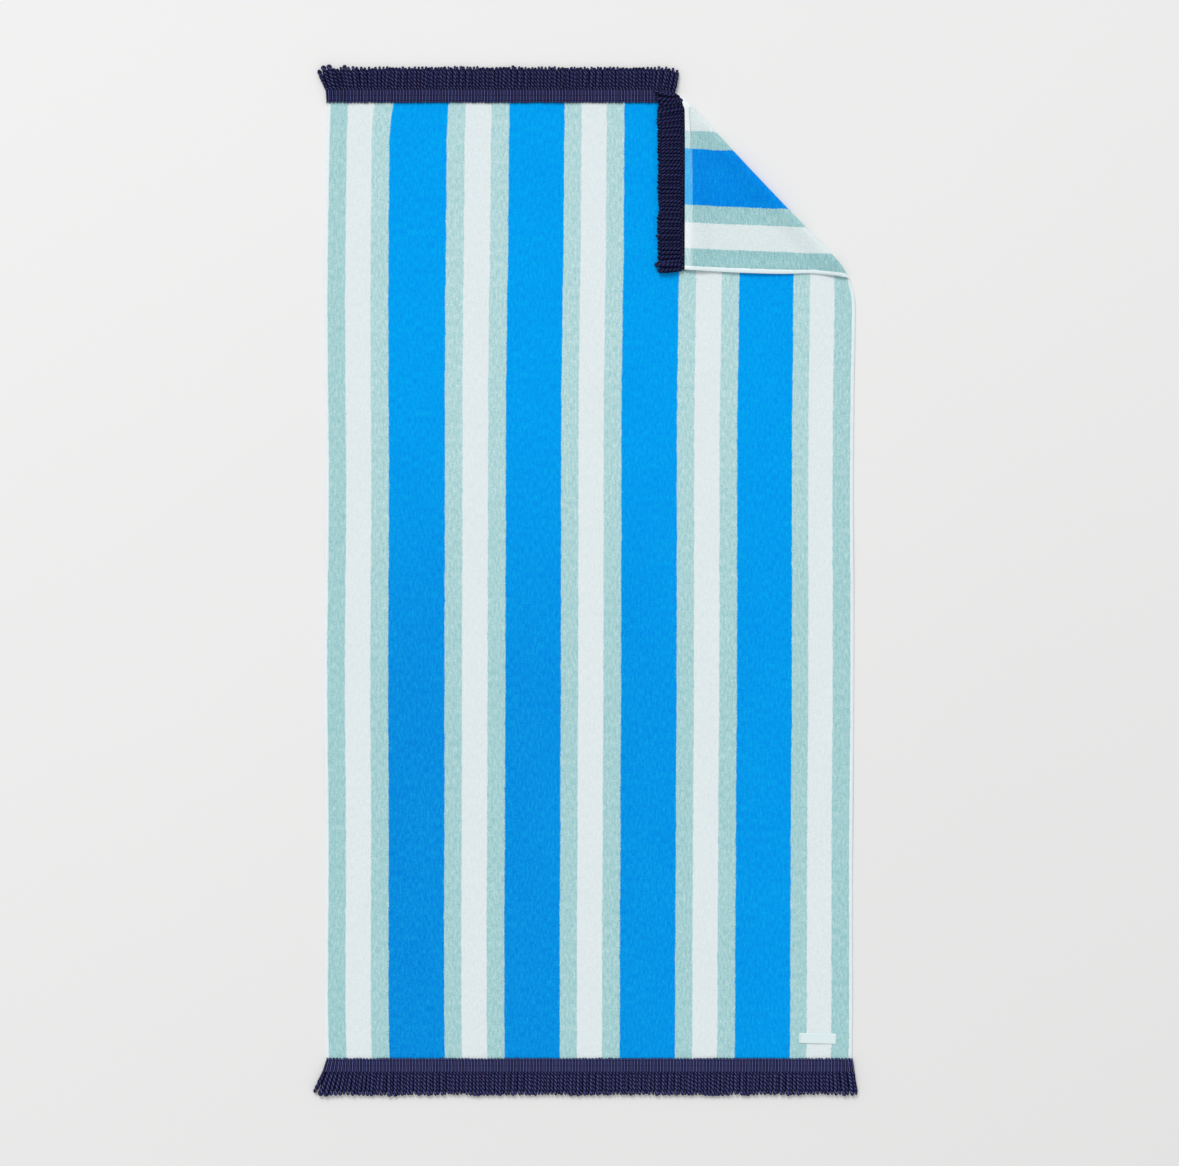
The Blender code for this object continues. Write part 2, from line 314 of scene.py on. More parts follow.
def new_group(name: str, inputs: dict[str, str], outputs: dict[str, str]) -> bpy.types.NodeTree:
    """An empty shader node group with these sockets.

    Args:
        name: The group's name.
        inputs: The type of each input, by its name.
        outputs: The type of each output, by its name.

    Returns:
        The group, with its input and output nodes in it.
    """
    group = bpy.data.node_groups.new(name, "ShaderNodeTree")
    for in_out, sockets in (("INPUT", inputs), ("OUTPUT", outputs)):
        for key, kind in sockets.items():
            group.interface.new_socket(key, in_out=in_out, socket_type=kind)
    group.nodes.new("NodeGroupInput")
    group.nodes.new("NodeGroupOutput")
    return group


def mottle_group() -> bpy.types.NodeTree:
    """A soft uneven tone and its relief: noise that is stretched by a size along each axis.

    The tone goes from -1 to 1. The height adds finer noise, so that a surface has both the broad
    unevenness of cloth that was handled and the grain of its fibres.
    """
    group = new_group(
        "fibre_mottle",
        {"Place": "NodeSocketVector", "Size": "NodeSocketVector", "Grain": "NodeSocketFloat"},
        {"Tone": "NodeSocketFloat", "Height": "NodeSocketFloat"},
    )
    given = group.nodes["Group Input"].outputs
    place = add(
        group, "ShaderNodeVectorMath", {0: given["Place"], 1: given["Size"]}, operation="DIVIDE"
    ).outputs[0]
    broad = add(group, "ShaderNodeTexNoise", {"Vector": place, "Scale": 1.0, "Detail": 2.0}).outputs[0]
    fine = add(
        group, "ShaderNodeTexNoise", {"Vector": given["Place"], "Scale": given["Grain"], "Detail": 1.0}
    ).outputs[0]
    tone = reckon(group, "MULTIPLY_ADD", broad, 4.0, -2.0)
    tone = reckon(group, "MAXIMUM", reckon(group, "MINIMUM", tone, 1.0), -1.0)
    height = reckon(group, "MULTIPLY_ADD", broad, 0.5, reckon(group, "MULTIPLY", fine, 0.5))
    group.links.new(tone, group.nodes["Group Output"].inputs["Tone"])
    group.links.new(height, group.nodes["Group Output"].inputs["Height"])
    return group


def twist_group() -> bpy.types.NodeTree:
    """The fibres of a spun yarn: a sine that climbs round the yarn as it runs along it.

    Its height is sin(2 pi (along / lay + around / width)), so that crests lie aslant, one each lay.
    """
    group = new_group(
        "yarn_twist",
        {"Map": "NodeSocketVector", "Lay": "NodeSocketFloat", "Width": "NodeSocketFloat"},
        {"Height": "NodeSocketFloat"},
    )
    given = group.nodes["Group Input"].outputs
    split = add(group, "ShaderNodeSeparateXYZ", {0: given["Map"]}).outputs
    along = reckon(group, "DIVIDE", split["Y"], given["Lay"])
    around = reckon(group, "DIVIDE", split["X"], given["Width"])
    turn = reckon(group, "MULTIPLY", reckon(group, "ADD", along, around), 2 * math.pi)
    height = reckon(group, "SINE", turn)
    group.links.new(height, group.nodes["Group Output"].inputs["Height"])
    return group


MOTTLE = mottle_group()
TWIST = twist_group()


def use_group(tree: bpy.types.NodeTree, group: bpy.types.NodeTree, inputs: dict) -> bpy.types.Node:
    """Places a node group in a tree and feeds it."""
    return add(tree, "ShaderNodeGroup", inputs, node_tree=group)


@dataclass(frozen=True)
class Finish:
    """What all the textile finishes share: a matt shader with its values set on its own sockets."""

    roughness: float
    specular: float
    sheen: float
    sheen_tint: Colour
    relief: float  # the height of the bump, in metres

    def start(self, name: str) -> tuple[bpy.types.Material, bpy.types.NodeTree, bpy.types.Node]:
        """A new material with its tree and its shader, which has the finish's plain values."""
        material = bpy.data.materials.new(name)
        material.use_nodes = True
        tree = material.node_tree
        shader = tree.nodes["Principled BSDF"]
        shader.inputs["Roughness"].default_value = self.roughness
        shader.inputs["Specular IOR Level"].default_value = self.specular
        shader.inputs["Sheen Weight"].default_value = self.sheen
        shader.inputs["Sheen Roughness"].default_value = 0.5
        shader.inputs["Sheen Tint"].default_value = (*self.sheen_tint, 1)
        return material, tree, shader

    def raise_up(
        self, tree: bpy.types.NodeTree, shader: bpy.types.Node, height: bpy.types.NodeSocket
    ) -> None:
        """Feeds a height between about 0 and 1 to the shader's normal, as relief."""
        bump = add(tree, "ShaderNodeBump", {"Height": height, "Distance": self.relief, "Strength": 1.0})
        tree.links.new(bump.outputs[0], shader.inputs["Normal"])


@dataclass(frozen=True)
class Palette:
    """The colours of the stripes on one face of the cloth."""

    white: Colour
    aqua: Colour
    blue: Colour
    hem: Colour


@dataclass(frozen=True)
class StripedTerry(Finish):
    """Terry in stripes: aqua, white, aqua and blue, again and again, with a white hem down each side."""

    front: Palette = Palette(
        (0.760, 0.836, 0.852), (0.418, 0.662, 0.680), (0.0002, 0.350, 0.895), (0.79, 0.88, 0.90)
    )
    back: Palette = Palette(
        (0.725, 0.814, 0.822), (0.345, 0.590, 0.612), (0.0010, 0.250, 0.800), (0.80, 0.905, 0.93)
    )
    deep_blue: Colour = (0.0020, 0.267, 0.750)  # towards the front's bottom left corner
    hem: float = 6.0 * MM  # the white one down each side
    aqua_wide: float = 28.9 * MM  # the aqua on the left of a white
    white_wide: float = 42.9 * MM
    blue_wide: float = 94.5 * MM
    repeat: float = 196.5 * MM
    end_hem: float = 15.0 * MM  # the width of the back's end hems, where the pile is left out
    pile: float = 1.1 * MM  # the size of a loop of pile
    stray: float = 1.5 * MM  # how far single loops stand over a stripe's edge
    wander: float = 0.8 * MM  # and how far the edge itself does
    streak_depth: float = 0.17  # how much each of these adds to the power on the stripe's colour
    speck_depth: float = 0.15
    cloud_depth: float = 0.03
    outer_depth: float = 0.06  # in the outer aquas
    lower_depth: float = 0.07  # in the aquas, towards the bottom
    upper_depth: float = -0.10  # in the inner aquas, towards the top
    end_hem_depth: float = -0.36
    aqua_uneven: float = 0.8  # how much more uneven the aqua is than the rest
    end_hem_bare: float = 0.08  # how much of the undyed ground shows in an end hem

    def stripes(
        self, tree: bpy.types.NodeTree, across: bpy.types.NodeSocket, width: float, palette: Palette
    ) -> bpy.types.NodeSocket:
        """The stripes' colour at a place across the cloth.

        Args:
            tree: The material's tree.
            across: The distance from the cloth's left edge.
            width: The cloth's width.
            palette: The colours of the face.

        Returns:
            The colour.
        """
        inside = reckon(tree, "SUBTRACT", across, self.hem)
        share = reckon(tree, "FRACT", reckon(tree, "DIVIDE", inside, self.repeat))
        ramp = add(tree, "ShaderNodeValToRGB", {"Fac": share})
        ramp.color_ramp.interpolation = "CONSTANT"
        edges = (0, self.aqua_wide, self.aqua_wide + self.white_wide, self.repeat - self.blue_wide)
        marks = ramp.color_ramp.elements
        for edge, colour in zip(edges, (palette.aqua, palette.white, palette.aqua, palette.blue)):
            mark = marks[0] if edge == 0 else marks.new(edge / self.repeat)
            mark.color = (*colour, 1)
        marks.remove(marks[-1])
        from_middle = reckon(tree, "ABSOLUTE", reckon(tree, "SUBTRACT", across, width / 2))
        in_hem = reckon(tree, "GREATER_THAN", from_middle, width / 2 - self.hem)
        return mix_colour(tree, in_hem, ramp.outputs["Color"], (*palette.hem, 1))

    def material(self, width: float, length: float) -> bpy.types.Material:
        """The terry of a cloth of this size.

        Deeper pile shows more of its dye, so its unevenness is a power of the stripe's colour: over 1 where
        the pile is deep, and under 1 where it is short or left out, as in the end hems.
        """
        material, tree, shader = self.start("striped_terry")
        place = add(tree, "ShaderNodeUVMap", {}, uv_map="flat").outputs[0]
        back = add(tree, "ShaderNodeAttribute", {}, attribute_name="back_side").outputs["Fac"]
        split = add(tree, "ShaderNodeSeparateXYZ", {0: place}).outputs

        # loops at a stripe's edge stray a little, and the edge wanders along the cloth
        stray = use_group(tree, MOTTLE, {"Place": place, "Size": (1.5 * MM, 1.8 * MM, 1), "Grain": 300})
        wander = use_group(tree, MOTTLE, {"Place": place, "Size": (900 * MM, 34 * MM, 1), "Grain": 20})
        across = reckon(tree, "MULTIPLY_ADD", stray.outputs["Tone"], self.stray, split["X"])
        across = reckon(tree, "MULTIPLY_ADD", wander.outputs["Tone"], self.wander, across)
        front_dye = self.stripes(tree, across, width, self.front)
        back_dye = self.stripes(tree, across, width, self.back)
        colour = mix_colour(tree, back, front_dye, back_dye)

        # the front's streaks run along the cloth, and the back's ribs across it
        front = use_group(tree, MOTTLE, {"Place": place, "Size": (3.6 * MM, 11 * MM, 1), "Grain": 700})
        ribs = use_group(tree, MOTTLE, {"Place": place, "Size": (12 * MM, 3.2 * MM, 1), "Grain": 700})
        pick = {"Factor": back, "A": front.outputs["Tone"], "B": ribs.outputs["Tone"]}
        streak = add(tree, "ShaderNodeMix", pick, data_type="FLOAT").outputs[0]
        speck = use_group(tree, MOTTLE, {"Place": place, "Size": (2.4 * MM, 2.8 * MM, 1), "Grain": 900})
        cloud = use_group(tree, MOTTLE, {"Place": place, "Size": (70 * MM, 120 * MM, 1), "Grain": 30})

        # the blue is deeper towards the front's bottom left corner, and the inner aquas paler at the top
        downwards = ramped(tree, split["Y"], 1.25, 0.55)
        leftwards = ramped(tree, split["X"], 1.00, 0.02)
        shade = reckon(tree, "MULTIPLY", downwards, reckon(tree, "MULTIPLY_ADD", leftwards, 0.85, 0.15))
        on_front = reckon(tree, "SUBTRACT", 1, back)
        redness = add(tree, "ShaderNodeSeparateColor", {"Color": front_dye}).outputs["Red"]
        is_blue = reckon(tree, "MULTIPLY", reckon(tree, "LESS_THAN", redness, 0.05), on_front)
        is_aqua = reckon(tree, "COMPARE", redness, self.front.aqua[0], 0.05)
        deeper = reckon(tree, "MULTIPLY", shade, is_blue)
        colour = mix_colour(tree, deeper, colour, (*self.deep_blue, 1))
        from_middle = reckon(tree, "ABSOLUTE", reckon(tree, "SUBTRACT", across, width / 2))
        outer = reckon(tree, "GREATER_THAN", from_middle, width / 2 - self.hem - self.aqua_wide)
        upwards = reckon(tree, "SUBTRACT", 1, downwards)
        paler = reckon(tree, "MULTIPLY", upwards, reckon(tree, "SUBTRACT", 1, outer))
        paler = reckon(tree, "MULTIPLY", paler, reckon(tree, "MULTIPLY", is_aqua, on_front))

        from_end = reckon(
            tree, "SUBTRACT", length / 2,
            reckon(tree, "ABSOLUTE", reckon(tree, "SUBTRACT", split["Y"], length / 2)),
        )
        end_hem = reckon(tree, "MULTIPLY", reckon(tree, "LESS_THAN", from_end, self.end_hem), back)
        uneven = reckon(tree, "MULTIPLY", streak, self.streak_depth)
        uneven = reckon(tree, "MULTIPLY_ADD", speck.outputs["Tone"], self.speck_depth, uneven)
        by_colour = reckon(tree, "MULTIPLY_ADD", is_aqua, self.aqua_uneven, 1.0)
        power = reckon(tree, "MULTIPLY_ADD", uneven, by_colour, 1.0)
        lower = reckon(tree, "MULTIPLY", is_aqua, downwards)
        for where, depth in (
            (cloud.outputs["Tone"], self.cloud_depth),
            (outer, self.outer_depth),
            (lower, self.lower_depth),
            (paler, self.upper_depth),
            (end_hem, self.end_hem_depth),
        ):
            power = reckon(tree, "MULTIPLY_ADD", where, depth, power)
        deepened = add(tree, "ShaderNodeGamma", {"Color": colour, "Gamma": power}).outputs[0]
        bare = reckon(tree, "MULTIPLY", end_hem, self.end_hem_bare)
        dyed = mix_colour(tree, bare, deepened, (*self.back.white, 1))
        tree.links.new(dyed, shader.inputs["Base Color"])

        loops = add(
            tree, "ShaderNodeTexVoronoi", {"Vector": place, "Scale": 1 / self.pile, "Randomness": 0.9}
        ).outputs["Distance"]
        height = reckon(tree, "MULTIPLY_ADD", loops, -0.6, front.outputs["Height"])
        height = reckon(tree, "MULTIPLY", height, reckon(tree, "MULTIPLY_ADD", end_hem, -0.7, 1.0))
        self.raise_up(tree, shader, height)
        return material


@dataclass(frozen=True)
class SpunYarn(Finish):
    """Dyed yarn, spun from fibres that lie aslant round it."""

    name: str
    colour: Colour
    warmer: Colour
    deep: Colour  # painted shade: the colour drawn in the grooves and where the yarn lies under its neighbours
    lay: float = 2.6 * MM
    width: float = 9.0 * MM

    def material(self) -> bpy.types.Material:
        """The yarn, a little lighter or darker and warmer from strand to strand."""
        material, tree, shader = self.start(self.name)
        place = add(tree, "ShaderNodeUVMap", {}, uv_map="flat").outputs[0]
        solid = add(tree, "ShaderNodeTexCoord", {}).outputs["Object"]
        tone = add(tree, "ShaderNodeAttribute", {}, attribute_name="tone").outputs["Fac"]
        patch = use_group(tree, MOTTLE, {"Place": solid, "Size": (26 * MM, 26 * MM, 26 * MM), "Grain": 900})
        fleck = use_group(tree, MOTTLE, {"Place": place, "Size": (1.2 * MM, 3.5 * MM, 1), "Grain": 1500})
        warm = ramped(tree, reckon(tree, "ADD", patch.outputs["Tone"], fleck.outputs["Tone"]), 0.1, 1.4)
        dye = mix_colour(tree, warm, (*self.colour, 1), (*self.warmer, 1))
        # painted shade and light: the points' tone and crest value darken the yarn towards its deep colour
        # in its grooves and where it lies under, and keep it light on its crests
        painted_crest_light = add(tree, "ShaderNodeAttribute", {}, attribute_name="painted_crest_light").outputs["Fac"]
        light = reckon(tree, "MULTIPLY", tone, ramped(tree, painted_crest_light, 0.83, 1.0))
        light = reckon(tree, "MULTIPLY_ADD", fleck.outputs["Tone"], 0.06, light)
        dyed = mix_colour(tree, light, (*self.deep, 1), dye)
        tree.links.new(dyed, shader.inputs["Base Color"])
        twist = use_group(tree, TWIST, {"Map": place, "Lay": self.lay, "Width": self.width})
        fibres = reckon(tree, "MULTIPLY", fleck.outputs["Height"], 0.6)
        self.raise_up(tree, shader, reckon(tree, "MULTIPLY_ADD", twist.outputs["Height"], 0.35, fibres))
        return material


@dataclass(frozen=True)
class WovenTape(Finish):
    """Close-woven tape: fine ribs across it, with a bare face."""

    colour: Colour = (0.705, 0.825, 0.838)
    rib: float = 0.9 * MM

    def material(self) -> bpy.types.Material:
        """The tape, with its ribs as relief."""
        material, tree, shader = self.start("woven_tape")
        place = add(tree, "ShaderNodeUVMap", {}, uv_map="flat").outputs[0]
        split = add(tree, "ShaderNodeSeparateXYZ", {0: place}).outputs
        mottle = use_group(tree, MOTTLE, {"Place": place, "Size": (2 * MM, 1 * MM, 1), "Grain": 1600})
        power = reckon(tree, "MULTIPLY_ADD", mottle.outputs["Tone"], 0.05, 1.0)
        deepened = add(tree, "ShaderNodeGamma", {"Color": (*self.colour, 1), "Gamma": power}).outputs[0]
        tree.links.new(deepened, shader.inputs["Base Color"])
        ribs = reckon(tree, "SINE", reckon(tree, "MULTIPLY", split["Y"], 2 * math.pi / self.rib))
        fibres = reckon(tree, "MULTIPLY", mottle.outputs["Height"], 0.5)
        height = reckon(tree, "MULTIPLY_ADD", ribs, 0.3, fibres)
        self.raise_up(tree, shader, height)
        return material


# ------------------------------------------------------------------------------------------- the cloth


@dataclass
class TowelCloth:
    """The terry panel, laid flat with its top right corner turned down over the front."""

    width: float = 900 * MM
    length: float = 1664.4 * MM
    half_thick: float = 1.5 * MM
    gap: float = 0.3 * MM
    crease_top: tuple[float, float] = (148.6 * MM, 832.2 * MM)
    crease_side: tuple[float, float] = (450 * MM, 514.9 * MM)
    corner_lands: tuple[float, float] = (161.3 * MM, 527.9 * MM)
    roll_radius: float = 5 * MM
    drop: float = 35 * MM  # how far in from the roll the flap comes down to rest
    narrowest: float = 0.6  # how narrow the flap gets where its end edge is slid, as a share
    drawn_in: tuple[float, float] = (4.5 * MM, 1.4 * MM)  # of the ends' corners, on the left and the right
    drawn_reach: float = 75 * MM
    side_sway: float = 1.2 * MM
    sway_length: float = 620 * MM
    right_sway: float = -0.5  # the right side's sway, as a share of the left one's
    lower_sides: tuple[float, float] = (-0.5 * MM, 0.7 * MM)  # how far the sides' lower halves stand out
    side_lift: float = 1.0 * MM
    lift_length: float = 410 * MM
    lift_phase: float = math.radians(70)
    lift_band: float = 30 * MM
    lift_ends: tuple[float, float, float] = (-720 * MM, 720 * MM, 430 * MM)  # low, top left and top right
    lift_fades: float = 120 * MM
    pulled_back: float = 13 * MM  # of the end edge along the crease, where the thick heading turns over
    pulled_reach: float = 45 * MM
    rounded_by: tuple[float, float] = (-7.0 * MM, -2.8 * MM)
    rounded_reach: float = 18 * MM
    bowed: float = 1.8 * MM  # how far the crease curves in, at its middle
    bowed_reach: float = 30 * MM
    tucked: float = 3.0 * MM  # and its top end, under the fringe
    tucked_reach: float = 16 * MM
    gather: float = 36.0 * MM  # the cloth that is drawn in there
    squashed: float = 0.5  # the roll's height at the crease's lower end, as a share
    squashed_reach: float = 55 * MM
    heading_thick: float = 2.8 * MM
    heading_edge: tuple[float, float] = (25 * MM, 55 * MM)  # where the flap comes down off the heading
    coarse: float = 9.6 * MM
    fine: float = 3.2 * MM
    hem_lift: float = 2.5 * MM  # of the flap's side hem, off the cloth below
    hem_raised: float = 2.2 * MM  # how far the hem is drawn up near the corner
    hem_sags: float = 1.7 * MM  # and how far its edge hangs down at its middle
    hem_middle: tuple[float, float] = (268 * MM, 80 * MM)  # where on X, and how wide
    hem_corner: tuple[float, float] = (375 * MM, 32 * MM)
    hem_edge: float = 6.4 * MM  # where the side hems are stitched, from their edge
    end_hem: float = 14.0 * MM  # and the end hems, on the back
    rounding: float = 0.8 * MM  # how far from the edge its quarter circle starts
    swollen: float = 0.30 * MM  # how far a doubled side hem stands out
    swollen_end: float = 0.45 * MM
    puckers: float = 0.12 * MM
    pucker_length: float = 7.0 * MM
    stitched_in: float = 0.25 * MM  # how deep the stitches dip into the side hems
    stitched_in_end: float = 0.40 * MM
    unevenness: float = 0.30 * MM  # of the terry between the hems
    flap_unevenness: float = 0.50 * MM  # of how the flap lies

    def __post_init__(self) -> None:
        """Works out the crease's directions and how the flap is drawn together along it."""
        top, side, lands = (np.array(p) for p in (self.crease_top, self.crease_side, self.corner_lands))
        self.along_crease = side - top
        self.along = unit(self.along_crease)
        self.outward = np.array([-self.along[1], self.along[0]])
        self.crease_slope = -self.along[1] / self.along[0]
        self.start = top - self.outward * self.half_thick
        corner = np.array([self.width / 2, self.length / 2])
        self.quarter = math.pi / 2 * self.roll_radius
        self.over = (math.pi / 2 - 1) * self.roll_radius
        flat_out = (corner - self.start) @ self.outward - self.over - self.quarter
        landed_in = (self.start - lands) @ self.outward - self.roll_radius
        slid = (lands - corner) @ self.along
        self.flap_shrink = landed_in / flat_out
        self.flap_shear = slid / landed_in

    def past(self, flat: Array) -> Array:
        """How far a flat point lies past the middle of the turn, measured on the cloth."""
        return (flat - self.start) @ self.outward - self.over

    def drifted(self, flat: Array) -> Array:
        """The stripes' small wander from straight, by which the cloth is shifted sideways.

        It bellies to the right in the middle, more towards the top, leans a little down its right side, and
        is pulled along where the top heading was sewn on. It ends at the crease.

        Args:
            flat: Points of the flat cloth, (..., 2).

        Returns:
            The shift along +X at each point.
        """
        x, y = flat[..., 0], flat[..., 1]
        middle = ease(x, -0.36, -0.13) * (1 - ease(x, 0.20, 0.44))
        belly = 2.6 * MM * ease(y, -0.78, -0.05) + 5.4 * MM * ease(y, 0.20, 0.76)
        lean = 3.2 * MM * ease(x, 0.05, 0.42) * np.clip((y + 0.36) / 1.0, -0.6, 0.8)
        last = -2.6 * MM * ease(x, 0.33, 0.41) * (1 - 0.6 * ease(y, 0.33, 0.48))
        from_end = (self.length / 2 - y) / (40 * MM)
        pulled = 9.0 * MM * np.exp(-(((x + 0.315) / 0.058) ** 2) - from_end**2)
        before_crease = 1 - ease(self.past(flat), -20 * MM, 5 * MM)
        return (middle * belly + lean + last + pulled) * before_crease

    def straightened(self, plan: Array, weight: Array) -> Array:
        """Slides the flap sideways, so that its end edge runs along +Y.

        The slide is full at the end edge and dies out at the crease, in a straight line between them.

        Args:
            plan: Points in plan, (..., 2).
            weight: How much each one belongs to the flap.

        Returns:
            The points, moved.
        """
        down = (self.crease_top[1] - plan[..., 1]) / (self.crease_top[1] - self.corner_lands[1])
        edge = self.crease_top[0] + (self.corner_lands[0] - self.crease_top[0]) * down
        crease = self.crease_top[0] + (self.crease_top[1] - plan[..., 1]) / self.crease_slope
        width = np.maximum(crease - edge, 1e-6)
        slide = np.minimum(np.maximum(self.corner_lands[0] - edge, 0), (1 - self.narrowest) * width)
        share = np.clip((plan[..., 0] - edge) / width, 0, 1)
        moved = plan.copy()
        moved[..., 0] += weight * slide * (1 - share)
        return moved

    def settled(self, plan: Array) -> Array:
        """The small unevenness of the outline.

        The ends are drawn in, the sides are wavy, the crease is bowed and tucked in at its top, and its
        lower end is rounded.

        Args:
            plan: Points in plan, (..., 2).

        Returns:
            The points, moved.
        """
        x, y = plan[..., 0], plan[..., 1]
        share = x / (self.width / 2)
        drawn = np.where(x < 0, self.drawn_in[0], self.drawn_in[1])
        drawn = drawn * np.exp(-(self.length / 2 - np.abs(y)) / self.drawn_reach)
        drawn = np.where((x > 0) & (y > 0), 0, drawn)
        sway = self.side_sway * np.sin(2 * np.pi * y / self.sway_length)
        left = sway + self.lower_sides[0] * ease(y, 0.2, -0.2)
        right = self.right_sway * sway + self.lower_sides[1] * ease(y, 0.2, -0.1)
        sway = np.where(x < 0, left, right)
        near = np.linalg.norm(plan - np.array(self.crease_side), axis=-1) / self.rounded_reach
        rounded = np.exp(-near * near / 2)
        moved = plan + np.array(self.rounded_by) * rounded[..., None]
        run = (plan - np.array(self.crease_top)) @ self.along / np.linalg.norm(self.along_crease)
        beside = (plan - np.array(self.crease_top)) @ self.outward
        bowed = self.bowed * np.sin(np.pi * np.clip(run, 0, 1)) * np.exp(-((beside / self.bowed_reach) ** 2))
        at_top = np.linalg.norm(plan - np.array(self.crease_top), axis=-1) / self.tucked_reach
        bowed = bowed + self.tucked * np.exp(-at_top * at_top / 2)
        moved = moved - bowed[..., None] * self.outward
        moved[..., 0] += sway * np.abs(share) ** 3 - drawn * share
        return moved

    def lifted(self, flat: Array) -> Array:
        """How far the side hems stand off the floor, in long low waves that die out at the ends."""
        x, y = flat[..., 0], flat[..., 1]
        at_side = ease(np.abs(x), self.width / 2 - self.lift_band, self.width / 2)
        low_end, left_end, right_end = self.lift_ends
        from_top = y - np.where(x < 0, left_end, right_end)
        open_run = ease(y, low_end, low_end + self.lift_fades) * (1 - ease(from_top, -self.lift_fades, 0))
        phase = np.where(x < 0, 0, self.lift_phase)
        wave = np.maximum(np.sin(2 * np.pi * y / self.lift_length + phase), 0)
        return self.side_lift * at_side * open_run * wave

    def laid(self, flat: Array) -> Array:
        """The place in the laid towel of points of the flat cloth's middle surface.

        Short of the crease the cloth stays where it is. It turns over on a roll: in by r (1 - cos a) and up
        by r (1 + sin a). Past that it lies on itself, drawn together a little.

        Args:
            flat: Points of the flat cloth, (..., 2).

        Returns:
            Their places, (..., 3).
        """
        past = self.past(flat)
        from_end = self.length / 2 - flat[..., 1]
        at_end = 1 - ease(from_end, 0, self.pulled_reach)
        back = self.pulled_back * np.exp(-(((past - 3 * MM) / (8 * MM)) ** 2)) * at_end
        slid = (flat - self.start) @ self.along + back
        radius, quarter = self.roll_radius, self.quarter

        angle = np.clip(past, -quarter, quarter) / radius
        turned_in = radius * (1 - np.cos(angle))
        from_side = np.linalg.norm(self.along_crease) - (flat - self.start) @ self.along
        squash = 1 - (1 - self.squashed) * ease(-from_side, -self.squashed_reach, 0)
        turned_up = self.half_thick + radius * squash * (1 + np.sin(angle))
        lying_in = radius + self.flap_shrink * (past - quarter)
        over_heading = 1 - ease(from_end, *self.heading_edge)
        rest = 3 * self.half_thick + self.gap + over_heading * (self.heading_thick + self.gap)
        roll_top = self.half_thick + 2 * radius * squash
        lying_up = rest + (roll_top - rest) * (1 - ease(lying_in, radius, radius + self.drop))

        on_flap = past >= quarter
        inward = np.where(on_flap, lying_in, turned_in)
        height = np.where(on_flap, lying_up, turned_up)
        weight = np.where(on_flap, 1.0, np.maximum(np.sin(angle), 0))
        slid = slid + np.where(on_flap, self.flap_shear * (inward - radius), 0)
        plan = self.start + slid[..., None] * self.along - inward[..., None] * self.outward
        plan = self.straightened(plan, weight)

        hem = on_flap * ease(flat[..., 0], self.width / 2 - 30 * MM, self.width / 2)
        edge = on_flap * ease(flat[..., 0], self.width / 2 - 6 * MM, self.width / 2)
        middle, corner = (
            np.exp(-(((plan[..., 0] - at) / wide) ** 2)) for at, wide in (self.hem_middle, self.hem_corner)
        )
        plan[..., 1] += self.hem_raised * hem * corner - self.hem_sags * edge * middle
        height = height + self.hem_lift * hem * middle

        stays = past <= -quarter
        plan = self.settled(np.where(stays[..., None], flat + back[..., None] * self.along, plan))
        height = np.where(stays, self.half_thick + self.lifted(flat), height)
        return np.concatenate([plan, height[..., None]], axis=-1)

    def gathered(self, flat: Array) -> Array:
        """How much cloth the turn has drawn in, out of sight, at the crease's top end."""
        near = (1 - ease(self.past(flat), 0, 50 * MM)) * ease(self.past(flat), -14 * MM, -2 * MM)
        return self.gather * near * (1 - ease(flat[..., 0] - self.crease_top[0], 22 * MM, 62 * MM))

    def with_normals(self, flat: Array) -> tuple[Array, Array]:
        """The laid places of flat points, and the front's normals there, from the slopes along both axes."""
        step = 0.25 * MM
        east, north = np.array([step, 0]), np.array([0, step])
        across = self.laid(flat + east) - self.laid(flat - east)
        along = self.laid(flat + north) - self.laid(flat - north)
        return self.laid(flat), unit(np.cross(across, along))

    def on_front(self, flat: Array, height: Array | float) -> Array:
        """Places at a height over the front face's middle surface, wherever the fold has taken it."""
        places, normals = self.with_normals(flat)
        return places + normals * np.asarray(height)[..., None]

    def columns(self) -> Array:
        """The grid's stops across the cloth: close in the hems and where the corner turns over."""
        edge = np.array([0, 0.25, 0.8, 1.7, 3.0, 4.4, 5.6, 6.4, 7.2, 10.5]) * MM
        inner = stops((-439.5 * MM, 138 * MM, self.coarse), (138 * MM, 439.5 * MM, self.fine))
        half = self.width / 2
        return np.concatenate([edge[:-1] - half, inner, (half - edge[:-1])[::-1]])

    def rows(self) -> Array:
        """The grid's stops along the cloth: close at the end hems and where the corner turns over."""
        edge = np.array([0, 0.25, 0.8, 1.7, 4.0, 8.0, 12.6, 14.0, 15.4, 18.0]) * MM
        half = self.length / 2
        inner = stops((-half + edge[-1], 500 * MM, self.coarse), (500 * MM, half - edge[-1], self.fine))
        return np.concatenate([edge[:-1] - half, inner, (half - edge[:-1])[::-1]])

